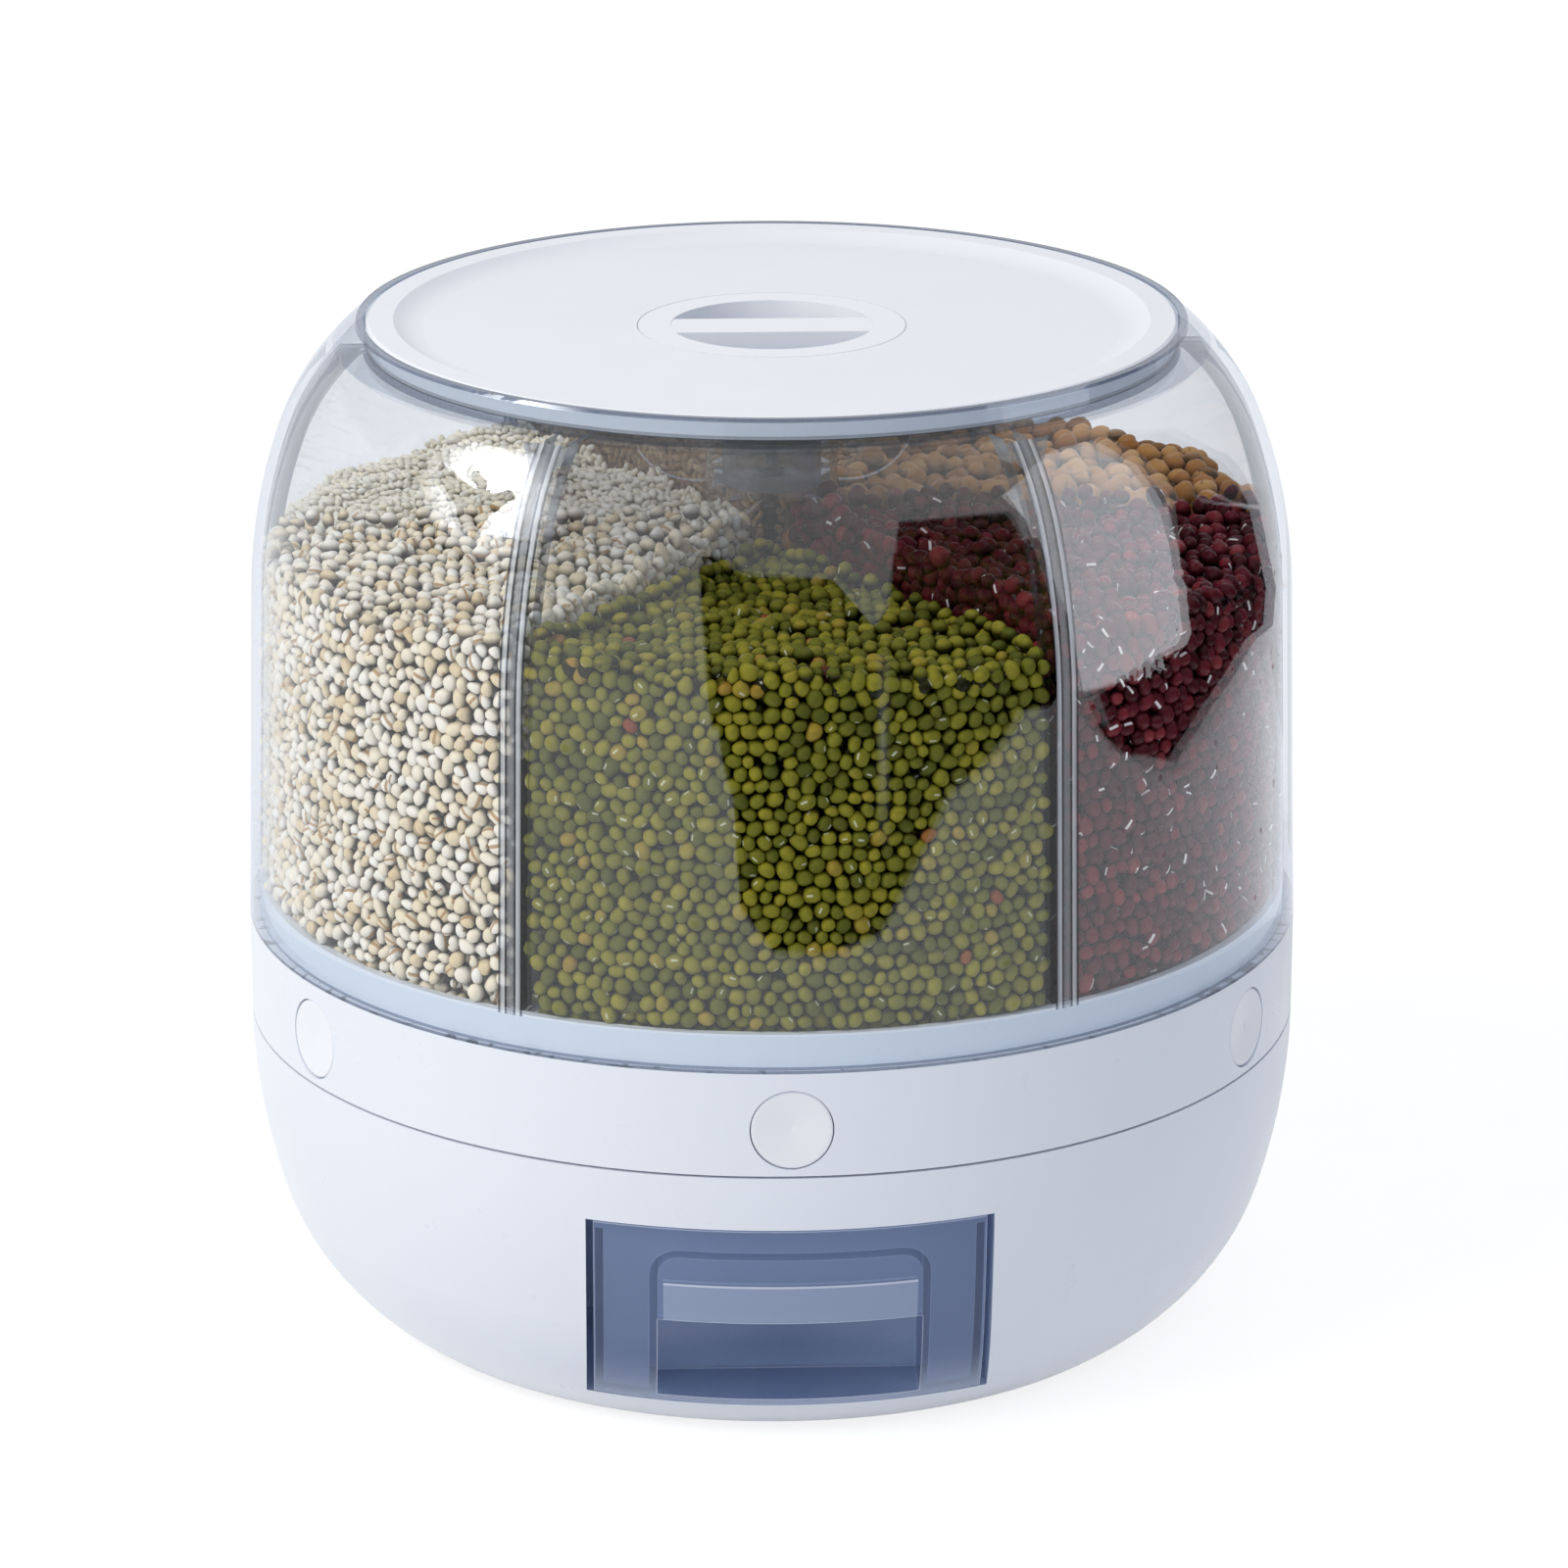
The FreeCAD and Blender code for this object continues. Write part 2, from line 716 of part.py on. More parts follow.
def bottom_plate():
    body = new_body("bottom_plate")
    disc = circle_sketch(body, "disc_outline", "XY_Plane", [(0, 0, plate_radius)], lift=base_bottom)
    pad(body, "disc", disc, s.plate_thickness)
    seat = s.foot_radius + s.foot_clearance
    seats = [(x, y, seat) for x, y in foot_places()]
    pocket(body, "seats", circle_sketch(body, "seat_outline", "XY_Plane", seats, lift=base_bottom),
           s.foot_recess, reverse=True)
    holes = [(x, y, s.screw_radius + s.screw_clearance) for x, y in post_places()]
    pocket(body, "holes", circle_sketch(body, "hole_outline", "XY_Plane", holes, lift=base_bottom),
           s.plate_thickness, reverse=True)
    return body


def rubber_feet():
    """Four loose discs, one solid each."""
    feet = []
    for i, (x, y) in enumerate(foot_places()):
        foot = doc.addObject("Part::Cylinder", f"foot_{i + 1}")
        bind(foot, "Radius", s.foot_radius)
        bind(foot, "Height", s.foot_rise + s.foot_recess)
        bind(foot, "Placement.Base.x", x)
        bind(foot, "Placement.Base.y", y)
        feet.append(foot)
    return group("rubber_feet", feet)


def bind(item, name, value):
    value = as_size(value)
    item.setExpression(name, value.text)


def group(label, items):
    """Separate solids kept together under one name."""
    compound = doc.addObject("Part::Compound", label)
    compound.Links = items
    compound.Label = label
    return compound


def screw(name, x, y, under_head, length, head_below):
    """A screw that points up: a head under its seat and a plain shank."""
    head = doc.addObject("Part::Cylinder", f"{name}_head")
    bind(head, "Radius", s.screw_head_radius)
    bind(head, "Height", head_below)
    bind(head, "Placement.Base.z", under_head - head_below)
    shank = doc.addObject("Part::Cylinder", f"{name}_shank")
    bind(shank, "Radius", s.screw_radius)
    bind(shank, "Height", length)
    bind(shank, "Placement.Base.z", under_head)
    for piece in (head, shank):
        bind(piece, "Placement.Base.x", x)
        bind(piece, "Placement.Base.y", y)
    whole = doc.addObject("Part::Fuse", name)
    whole.Base = head
    whole.Tool = shank
    return whole


def base_screws():
    places = enumerate(post_places(), start=1)
    return group("base_screws", [
        screw(f"base_screw_{i}", x, y, base_bottom, s.screw_length, s.screw_head) for i, (x, y) in places
    ])


def base_deck():
    body = new_body("base_deck")
    bore = bush_outer + s.press_clearance
    boss = bore + s.boss_wall
    edge = s.body_radius - s.base_wall - s.deck_clearance
    revolve(body, "disc", [[
        (bore, boss_bottom), (boss, boss_bottom), (boss, deck_bottom), (edge, deck_bottom), (edge, deck_top),
        (track_outer, deck_top), (track_outer, track_top), (track_inner, track_top),
        (track_inner, deck_top), (boss, deck_top), (boss, boss_top), (bore, boss_top),
    ]])
    posts = [(x, y, s.post_radius) for x, y in post_places()]
    pad(body, "posts", circle_sketch(body, "post_outline", "XY_Plane", posts, lift=plate_top),
        deck_bottom - plate_top)
    holes = [(x, y, s.screw_radius + s.press_clearance) for x, y in post_places()]
    pocket(body, "holes", circle_sketch(body, "hole_outline", "XY_Plane", holes, lift=plate_top),
           s.screw_length, reverse=True)
    mouth = chute_mouth(s.chute_wall + s.chute_hole_clearance)
    pocket(body, "chute_hole", loop_sketch(body, "chute_outline", "XY_Plane", [mouth], lift=deck_top),
           s.deck_thickness)
    return body


def box_about_outlet(margin):
    """A rectangle round the outlet in front, larger than it by a margin."""
    half = s.outlet_width / 2 + margin
    deep = s.outlet_depth / 2 + margin
    return rectangle(-half, -outlet_circle - deep, half, -outlet_circle + deep)


def chute_mouth(extra):
    return box_about_outlet(s.chute_mouth_margin + extra)


def chute_foot(extra):
    return box_about_outlet(s.chute_foot_margin + extra)


def chute():
    body = new_body("chute")
    mouth_z = cover_bottom - s.chute_top_gap
    low = bay_roof + s.bay_clearance

    def ends(name, extra):
        top = loop_sketch(body, f"{name}_mouth", "XY_Plane", [chute_mouth(extra)], lift=mouth_z)
        foot = loop_sketch(body, f"{name}_foot", "XY_Plane", [chute_foot(extra)], lift=low)
        return [top, foot]

    loft(body, "AdditiveLoft", "funnel", ends("outer", s.chute_wall), cuts=False)
    rim = [chute_mouth(s.chute_wall + s.chute_flange)]
    pad(body, "flange", loop_sketch(body, "flange_outline", "XY_Plane", rim, lift=deck_top),
        s.chute_flange_thickness)
    loft(body, "SubtractiveLoft", "way", ends("inner", as_size(0)), cuts=True)
    return body


def hub_bush():
    body = new_body("hub_bush")
    flange = bush_outer + s.bush_flange
    revolve(body, "bush", [[
        (spindle_bore, boss_bottom), (bush_outer, boss_bottom), (bush_outer, boss_top), (flange, boss_top),
        (flange, bush_top), (spindle_bore, bush_top),
    ]])
    return body


def tray_bay():
    body = new_body("tray_bay")
    wide = s.bay_half_width + s.bay_wall
    far = s.body_radius + OVERRUN
    block = rectangle(-wide, -far, wide, -bay_back + s.bay_wall)
    low = bay_floor - s.bay_wall
    pad(body, "block", loop_sketch(body, "block_outline", "XY_Plane", [block], lift=low),
        bay_roof + s.bay_wall - low)
    rail_edge = s.rail_place + s.rail_half
    rim_inside = plate_radius - s.plate_overlap - s.plate_clearance
    rail_end = root(rim_inside * rim_inside - rail_edge * rail_edge)
    rails = []
    for side in (-1.0, 1.0):
        inner = side * s.rail_place - s.rail_half
        outer = side * s.rail_place + s.rail_half
        rails.append(rectangle(inner, -rail_end, outer, -bay_back - s.rail_inset))
    pad(body, "rails", loop_sketch(body, "rail_outline", "XY_Plane", rails, lift=plate_top), low - plate_top)
    inside = rectangle(-s.bay_half_width, bay_floor, s.bay_half_width, bay_roof)
    pocket(body, "inside", loop_sketch(body, "inside_outline", "XZ_Plane", [inside], lift=bay_back),
           far - bay_back, reverse=True)
    hole = box_about_outlet(s.chute_foot_margin + s.chute_wall + s.chute_hole_clearance)
    pocket(body, "hole", loop_sketch(body, "hole_outline", "XY_Plane", [hole], lift=bay_roof + s.bay_wall),
           s.bay_wall)
    trim_outside(body, base_inside_up(bay_skin, rim_floor, deck_bottom))
    return body


def trim_outside(body, edge):
    """Takes away everything outside an edge that runs upwards."""
    far = s.body_radius * 2
    groove(body, "trim", [edge + [(far, edge[-1][1]), (far, edge[0][1])]])


PANEL_SWEEP = 64.0


def tray():
    body = new_body("tray")
    far = s.body_radius + OVERRUN
    inner_half = tray_half - s.tray_wall
    block = rectangle(-tray_half, -far, tray_half, -tray_back)
    pad(body, "block", loop_sketch(body, "block_outline", "XY_Plane", [block], lift=tray_bottom),
        tray_rim - tray_bottom)
    inside = rectangle(-inner_half, -far - OVERRUN, inner_half, -tray_back - s.tray_wall)
    pocket(body, "inside", loop_sketch(body, "inside_outline", "XY_Plane", [inside], lift=tray_rim),
           tray_rim - tray_inside)
    outer_corner = s.grip_corner + s.tray_wall
    grip_outer = arch(s.grip_half_width + s.tray_wall, tray_bottom, grip_roof + s.tray_wall, outer_corner)
    back = grip_back - s.tray_wall
    pad(body, "grip_block", loop_sketch(body, "grip_block_outline", "XZ_Plane", [grip_outer], lift=back),
        far - back)
    grip_inner = arch(s.grip_half_width, tray_inside, grip_roof, s.grip_corner)
    pocket(body, "grip", loop_sketch(body, "grip_outline", "XZ_Plane", [grip_inner], lift=grip_back),
           far - grip_back, reverse=True)
    trim_outside(body, base_curve_up(panel_back, base_bottom, deck_bottom))
    low = tray_bottom
    high = opening_top - s.panel_gap
    panel = base_curve_up(s.panel_inset, low, high) + base_curve_down(panel_back, low, high)
    front = loop_sketch(body, "panel_outline", "YZ_Plane", [mirrored(panel)])
    turned(body, "Revolution", "panel", front, angle=PANEL_SWEEP, symmetric=True)
    sides = []
    for side in (-1.0, 1.0):
        edges = sorted((side * panel_half, side * far), key=lambda value: value.number)
        sides.append(rectangle(edges[0], base_bottom, edges[1], base_top))
    pocket(body, "panel_sides", loop_sketch(body, "side_outline", "XZ_Plane", sides, lift=bay_back),
           far - bay_back, reverse=True)
    cut = rectangle(-s.grip_half_width, tray_inside, s.grip_half_width, tray_inside + s.grip_lip)
    pocket(body, "grip_mouth", loop_sketch(body, "grip_mouth_outline", "XZ_Plane", [cut], lift=grip_back),
           far - grip_back, reverse=True)
    return body


def mirrored(corners):
    """The same outline on the other side of the vertical axis."""
    turned_corners = []
    for corner in corners:
        if len(corner) > 2:
            arc = arc_to_next(corner[2].radius, left=not corner[2].left)
            turned_corners.append((-corner[0], corner[1], arc))
        else:
            turned_corners.append((-corner[0], corner[1]))
    return turned_corners


def arch(half, low, high, corner):
    """A rectangle with its two upper corners rounded."""
    return [
        (-half, low), (half, low), (half, high - corner, arc_to_next(corner)),
        (half - corner, high), (corner - half, high, arc_to_next(corner)), (-half, high - corner),
    ]


def roller_cage():
    body = new_body("roller_cage")
    inner = track_inner - s.cage_clearance
    outer = track_outer + s.cage_clearance
    low = roller_z - s.cage_thickness / 2
    revolve(body, "ring", [rectangle(inner, low, outer, low + s.cage_thickness)])
    half_length = s.roller_length / 2 + s.pocket_clearance
    half_width = s.roller_radius + s.pocket_clearance
    middle = roller_middle()
    hole = rectangle(middle - half_length, -half_width, middle + half_length, half_width)
    first = pocket(body, "pocket", loop_sketch(body, "pocket_outline", "XY_Plane", [hole],
                                               lift=low + s.cage_thickness), s.cage_thickness)
    polar(body, first, s.roller_count, cuts=True)
    return body


def roller_middle():
    return track_inner + s.track_width / 2


def bearing_rollers():
    """Plain rollers, each lying along a radius."""
    rollers = []
    count = int(DRIVING["roller_count"])
    start = roller_middle() - s.roller_length / 2
    for i in range(count):
        angle = i * FULL_TURN / count
        roller = doc.addObject("Part::Cylinder", f"roller_{i + 1}")
        bind(roller, "Radius", s.roller_radius)
        bind(roller, "Height", s.roller_length)
        lie = Rotation(Vector(0, 0, 1), angle) * Rotation(Vector(0, 1, 0), 90)
        roller.Placement = Placement(Vector(0, 0, 0), lie)
        bind(roller, "Placement.Base.x", start * cosine(angle))
        bind(roller, "Placement.Base.y", start * sine(angle))
        bind(roller, "Placement.Base.z", roller_z)
        rollers.append(roller)
    return group("bearing_rollers", rollers)


def band_ring():
    body = new_body("band_ring")
    inside = s.body_radius - s.band_wall
    flange = s.body_radius - s.band_flange
    revolve(body, "wall", [[
        (inside, band_bottom), (s.body_radius, band_bottom), (s.body_radius, band_top), (flange, band_top),
        (flange, band_top - s.band_flange_thickness), (inside, band_top - s.band_flange_thickness),
    ]])
    bore = s.button_radius + s.button_clearance
    sleeve = circle_sketch(body, "sleeve_outline", "XZ_Plane", [(0, button_z, bore + s.sleeve_wall)],
                           lift=sleeve_inner_end)
    first = pad(body, "sleeve", sleeve, s.sleeve_length - s.band_wall / 2)
    polar(body, first, s.section_count, cuts=False)
    hole = circle_sketch(body, "bore_outline", "XZ_Plane", [(0, button_z, bore)], lift=sleeve_inner_end)
    bored = pocket(body, "bore", hole, s.sleeve_length + OVERRUN, reverse=True)
    polar(body, bored, s.section_count, cuts=True)
    return body


def outlet_outline(margin, inner, outer):
    """The outline of the outlet in front: two arcs about the axis and two sides along the vane planes."""
    half = SECTION_ANGLE / 2
    corners = []
    for radius, side in ((outer, -1), (outer, 1), (inner, 1), (inner, -1)):
        along = root(radius * radius - margin * margin)
        x = (along * sine(half) - margin * cosine(half)) * side
        corners.append([x, -(along * cosine(half) + margin * sine(half))])
    corners[0].append(arc_to_next(outer))
    corners[2].append(arc_to_next(inner, left=False))
    return [tuple(corner) for corner in corners]


def carousel_floor():
    """A round trough that slopes to the outlets, parted into six hoppers by hollow ridges under the vanes."""
    body = new_body("carousel_floor")
    half = SECTION_ANGLE / 2
    bore = s.spindle_radius + s.press_clearance
    hub = bore + s.hub_wall
    locator = s.column_radius - s.column_wall - s.vane_clearance
    drop = floor_top - throat_bottom
    outer_top = floor_rim_inner - s.hopper_margin
    outer_low = outlet_inner + s.outlet_depth
    outer_foot = outer_low + s.hopper_wall * (outer_top - outer_low) / drop
    inner_foot = outlet_inner - s.hopper_wall * (outlet_inner - s.hopper_inner) / drop
    lip = throat_bottom + s.hopper_lip
    inner_bed = outlet_inner - s.hopper_lip * (outlet_inner - s.hopper_inner) / drop
    outer_bed = outer_low + s.hopper_lip * (outer_top - outer_low) / drop
    revolve(body, "plate", [[
        (bore, hub_bottom), (hub, hub_bottom), (hub, floor_under), (s.hopper_inner, floor_under),
        (inner_foot, throat_bottom), (outer_foot, throat_bottom), (outer_top, floor_under),
        (floor_rim_inner, floor_under), (floor_rim_inner, band_top), (floor_rim_outer, band_top),
        (floor_rim_outer, rim_top), (floor_rim_inner, rim_top), (floor_rim_inner, floor_top),
        (outer_top, floor_top), (outer_bed, lip), (inner_bed, lip), (s.hopper_inner, floor_top),
        (locator, floor_top), (locator, rim_top), (0, rim_top), (0, spindle_top), (bore, spindle_top),
    ]])
    half_outlet = s.outlet_width / 2
    ridge_foot = (root(outer_low * outer_low - half_outlet * half_outlet) * sine(half)
                  - half_outlet * cosine(half))
    start = hub - s.hopper_wall
    ridge = loop_sketch(body, "ridge_outline", "YZ_Plane", [ridge_outline(ridge_foot, as_size(0))], lift=start)
    ridges = pad(body, "ridge", ridge, outer_top - start)
    polar(body, ridges, s.section_count, cuts=False)
    far = s.body_radius * 2
    groove(body, "underside", [
        [(hub, throat_bottom), (inner_foot, throat_bottom), (s.hopper_inner, floor_under), (hub, floor_under)],
        [(outer_foot, throat_bottom), (far, throat_bottom), (far, band_top), (floor_rim_inner, band_top),
         (floor_rim_inner, floor_under), (outer_top, floor_under)],
    ])
    inset = hub + s.hopper_wall
    shift = s.hopper_wall * (ridge_foot - s.ridge_half) / drop
    gable = ridge_outline(ridge_foot - shift, s.hopper_wall)
    hollow = loop_sketch(body, "hollow_outline", "YZ_Plane", [gable], lift=inset)
    hollows = pocket(body, "hollow", hollow, outer_top - s.hopper_wall - inset, reverse=True)
    polar(body, hollows, s.section_count, cuts=True)
    opening = outlet_outline(ridge_foot, outlet_inner, outer_low)
    outlet = loop_sketch(body, "outlet_outline", "XY_Plane", [opening], lift=floor_top)
    outlets = pocket(body, "outlet", outlet, drop)
    polar(body, outlets, s.section_count, cuts=True)
    seat_half = s.gate_tab_width / 2
    seat = rectangle(-seat_half, -spring_seat, seat_half, -spring_seat + s.seat_wall)
    seats = pad(body, "seat", loop_sketch(body, "seat_outline", "XY_Plane", [seat], lift=gate_bottom),
                seat_top() - gate_bottom)
    polar(body, seats, s.section_count, cuts=False)
    posts = [(x, y, s.cover_post_radius) for x, y in cover_screw_places()]
    pad(body, "posts", circle_sketch(body, "post_outline", "XY_Plane", posts, lift=cover_top),
        floor_top - cover_top - s.hopper_wall / 2)
    holes = [(x, y, s.screw_radius + s.press_clearance) for x, y in cover_screw_places()]
    pocket(body, "holes", circle_sketch(body, "hole_outline", "XY_Plane", holes, lift=cover_top),
           s.screw_length - s.cover_thickness + s.screw_clearance, reverse=True)
    return body


def seat_top():
    """The spring seats reach half way into the sloping floor above them."""
    fall = (floor_top - throat_bottom) / (outlet_inner - s.hopper_inner)
    return floor_top - (spring_seat - s.hopper_inner) * fall - s.hopper_wall / 2


def ridge_outline(foot, sunk):
    """A gable across a vane plane, sunk by a depth at its top."""
    top = floor_top - sunk
    return [(-foot, throat_bottom), (foot, throat_bottom), (s.ridge_half, top), (-s.ridge_half, top)]


def cover_screw_places():
    return ring_places(cover_screw_circle, 0.0, int(DRIVING["cover_screw_count"]))


def gate_cover():
    body = new_body("gate_cover")
    outer = button_back - s.gate_travel - s.cover_clearance
    disc = [(0, 0, outer), (0, 0, s.cover_inner)]
    pad(body, "disc", circle_sketch(body, "disc_outline", "XY_Plane", disc, lift=cover_bottom),
        s.cover_thickness)
    hole = box_about_outlet(s.cover_outlet_margin)
    first = pocket(body, "outlet", loop_sketch(body, "outlet_outline", "XY_Plane", [hole], lift=cover_top),
                   s.cover_thickness)
    polar(body, first, s.section_count, cuts=True)
    holes = [(x, y, s.screw_radius + s.screw_clearance) for x, y in cover_screw_places()]
    pocket(body, "holes", circle_sketch(body, "hole_outline", "XY_Plane", holes, lift=cover_top),
           s.cover_thickness)
    return body


def cover_screws():
    places = enumerate(cover_screw_places(), start=1)
    return group("cover_screws", [
        screw(f"cover_screw_{i}", x, y, cover_bottom, s.screw_length, s.screw_head) for i, (x, y) in places
    ])


def clear_shell():
    body = new_body("clear_shell")
    ledge_inner = collar_inner - s.ledge_width
    corners = shell_curve_up(as_size(0), neck_z)
    corners += [
        (neck_radius - s.neck_bevel, shell_top), (collar_inner, shell_top), (collar_inner, ledge_top),
        (ledge_inner, ledge_top), (ledge_inner, ledge_bottom),
    ]
    corners += shell_curve_down(s.shell_wall, ledge_bottom)
    revolve(body, "wall", [corners])
    foot = band_top + s.rib_foot
    half_wall = s.shell_wall / 2
    channel = s.vane_thickness + 2 * s.vane_clearance
    rib = shell_curve_up(half_wall, ledge_bottom + half_wall, low=foot)
    rib += shell_curve_down(s.shell_wall + s.rib_depth, ledge_bottom + half_wall, low=foot)
    ribs = pad(body, "rib", loop_sketch(body, "rib_outline", "XZ_Plane", [rib]),
               channel + 2 * s.rib_wall, symmetric=True)
    polar(body, ribs, s.section_count, cuts=False)
    slot_foot = foot - s.shell_wall
    slot = shell_curve_up(s.shell_wall, ledge_bottom, low=slot_foot)
    slot += shell_curve_down(s.shell_wall + s.rib_depth + half_wall, ledge_bottom, low=slot_foot)
    cut = pocket(body, "slot", loop_sketch(body, "slot_outline", "XZ_Plane", [slot]), channel, symmetric=True)
    polar(body, cut, s.section_count, cuts=True)
    return body


def centre_column():
    body = new_body("centre_column")
    inside = s.column_radius - s.column_wall
    shoulder = s.socket_radius - s.column_radius
    lock_bore = s.socket_bore + s.lock_depth
    lock_top = socket_low + s.lock_height
    under = socket_low - s.socket_floor
    revolve(body, "post", [[
        (inside, floor_top), (s.column_radius, floor_top),
        (s.column_radius, under - shoulder, arc_to_next(shoulder)),
        (s.socket_radius, under), (s.socket_radius, socket_top), (s.socket_bore, socket_top),
        (s.socket_bore, lock_top), (lock_bore, lock_top), (lock_bore, socket_low), (0, socket_low),
        (0, under), (inside, under - shoulder),
    ]])
    slot = rectangle(-lock_bore, -s.slot_width / 2, lock_bore, s.slot_width / 2)
    pocket(body, "entry", loop_sketch(body, "entry_outline", "XY_Plane", [slot], lift=socket_top),
           s.socket_depth)
    return body


def divider_vane(number):
    body = new_body(f"divider_vane_{number}")
    gap = s.vane_clearance
    shoulder = s.socket_radius - s.column_radius
    reach = shoulder + gap
    under = socket_low - s.socket_floor
    inner = s.column_radius + gap
    foot = floor_top + gap
    edge = shell_curve_up(s.shell_wall + gap, vane_top, low=rim_top + gap)
    rim_side = floor_rim_inner - gap
    corners = [(inner, foot), (rim_side, foot), (rim_side, rim_top + gap)]
    corners += edge
    corners += [
        (s.notch_radius, vane_top),
        (s.notch_radius, notch_bottom + s.notch_corner, arc_to_next(s.notch_corner, left=False)),
        (s.notch_radius - s.notch_corner, notch_bottom),
        (s.socket_radius + gap, notch_bottom),
        (s.socket_radius + gap, under, arc_to_next(reach, left=False)),
        (inner, under - root(reach * reach - gap * gap)),
    ]
    pad(body, "panel", loop_sketch(body, "panel_outline", "XZ_Plane", [corners]), s.vane_thickness,
        symmetric=True)
    turn_about_axis(body, (number - 1) * SECTION_ANGLE)
    return body


def spindle():
    pin = doc.addObject("Part::Cylinder", "spindle")
    low = nut_bottom - s.spindle_tail
    bind(pin, "Radius", s.spindle_radius)
    bind(pin, "Height", spindle_top - low)
    bind(pin, "Placement.Base.z", low)
    return pin


def spindle_washer():
    body = new_body("spindle_washer")
    ring = [(0, 0, s.washer_radius), (0, 0, s.spindle_radius + s.screw_clearance)]
    pad(body, "ring", circle_sketch(body, "ring_outline", "XY_Plane", ring, lift=nut_top), s.washer_thickness)
    return body


HEX = 6


def spindle_nut():
    body = new_body("spindle_nut")
    across = s.nut_flats / math.cos(math.pi / HEX) / 2
    corners = [(across * cosine(i * 360.0 / HEX), across * sine(i * 360.0 / HEX)) for i in range(HEX)]
    sketch = loop_sketch(body, "hex_outline", "XY_Plane", [corners], lift=nut_bottom)
    draw_circle(sketch, 0, 0, s.spindle_radius + s.press_clearance)
    pad(body, "hex", sketch, s.nut_height)
    return body


def button(number):
    """The round cap, turned about its own radial axis and bored at its back for the gate's stem."""
    body = new_body(f"button_{number}")
    edge = s.button_radius
    dished = edge - s.button_rim
    corners = [
        (-button_face + s.button_dish, 0), (-button_face, dished), (-button_face, edge - s.button_bevel),
        (-button_face + s.button_bevel, edge), (-button_back, edge), (-button_back, 0),
    ]
    sketch = loop_sketch(body, "cap_outline", "YZ_Plane", [corners], shift=button_z)
    turned(body, "Revolution", "cap", sketch, axis="H_Axis")
    half = s.stem_width / 2 + s.press_clearance
    low = gate_bottom - s.press_clearance
    socket = rectangle(-half, low, half, low + s.stem_height + 2 * s.press_clearance)
    pocket(body, "socket", loop_sketch(body, "socket_outline", "XZ_Plane", [socket], lift=button_back),
           s.stem_grip + s.screw_clearance, reverse=True)
    turn_about_axis(body, (number - 1) * SECTION_ANGLE)
    return body


def gate(number):
    """The sliding plate: its window meets the outlet once the button is pushed home."""
    body = new_body(f"gate_{number}")
    half = s.gate_width / 2
    plate = rectangle(-half, -gate_outer, half, -gate_inner)
    window_half = s.outlet_width / 2 + s.window_clearance
    window_deep = s.outlet_depth / 2 + s.window_clearance
    centre = outlet_circle + s.gate_travel
    window = rectangle(-window_half, -centre - window_deep, window_half, -centre + window_deep)
    pad(body, "plate", loop_sketch(body, "plate_outline", "XY_Plane", [plate, window], lift=gate_bottom),
        s.gate_thickness)
    tab = rectangle(-s.gate_tab_width / 2, -gate_inner - s.gate_tab, s.gate_tab_width / 2, -gate_inner)
    pad(body, "tab", loop_sketch(body, "tab_outline", "XY_Plane", [tab], lift=gate_bottom), s.gate_tab_height)
    stem = rectangle(-s.stem_width / 2, -button_back - s.stem_grip, s.stem_width / 2, -gate_outer + s.gate_tab)
    pad(body, "stem", loop_sketch(body, "stem_outline", "XY_Plane", [stem], lift=gate_bottom), s.stem_height)
    peg = circle_sketch(body, "peg_outline", "XZ_Plane", [(0, spring_z, s.peg_radius)], lift=gate_inner)
    pad(body, "peg", peg, s.peg_length, reverse=True)
    turn_about_axis(body, (number - 1) * SECTION_ANGLE)
    return body


def gate_spring(number):
    """The space of a compression spring between the gate's tab and the floor's seat ring."""
    body = new_body(f"gate_spring_{number}")
    sleeve = [(0, spring_z, s.spring_inner + s.spring_wire), (0, spring_z, s.spring_inner)]
    sketch = circle_sketch(body, "sleeve_outline", "XZ_Plane", sleeve, lift=spring_seat + s.screw_clearance)
    pad(body, "sleeve", sketch, gate_inner - spring_seat - 2 * s.screw_clearance)
    turn_about_axis(body, (number - 1) * SECTION_ANGLE)
    return body


# Levels of the lid's cup and the knob in it
knob_bottom = derive("knob_bottom", lid_plane - s.knob_recess_depth - s.knob_wall)
cup_floor = derive("cup_floor", knob_bottom - s.cup_gap)
cup_under = derive("cup_under", cup_floor - s.cup_wall)
flange_seat = derive("flange_seat", lid_plane - s.knob_flange - s.cup_gap)
knob_outer = derive("knob_outer", s.knob_recess_radius + s.knob_wall)
stem_low = derive("stem_low", socket_low + s.lug_rise)


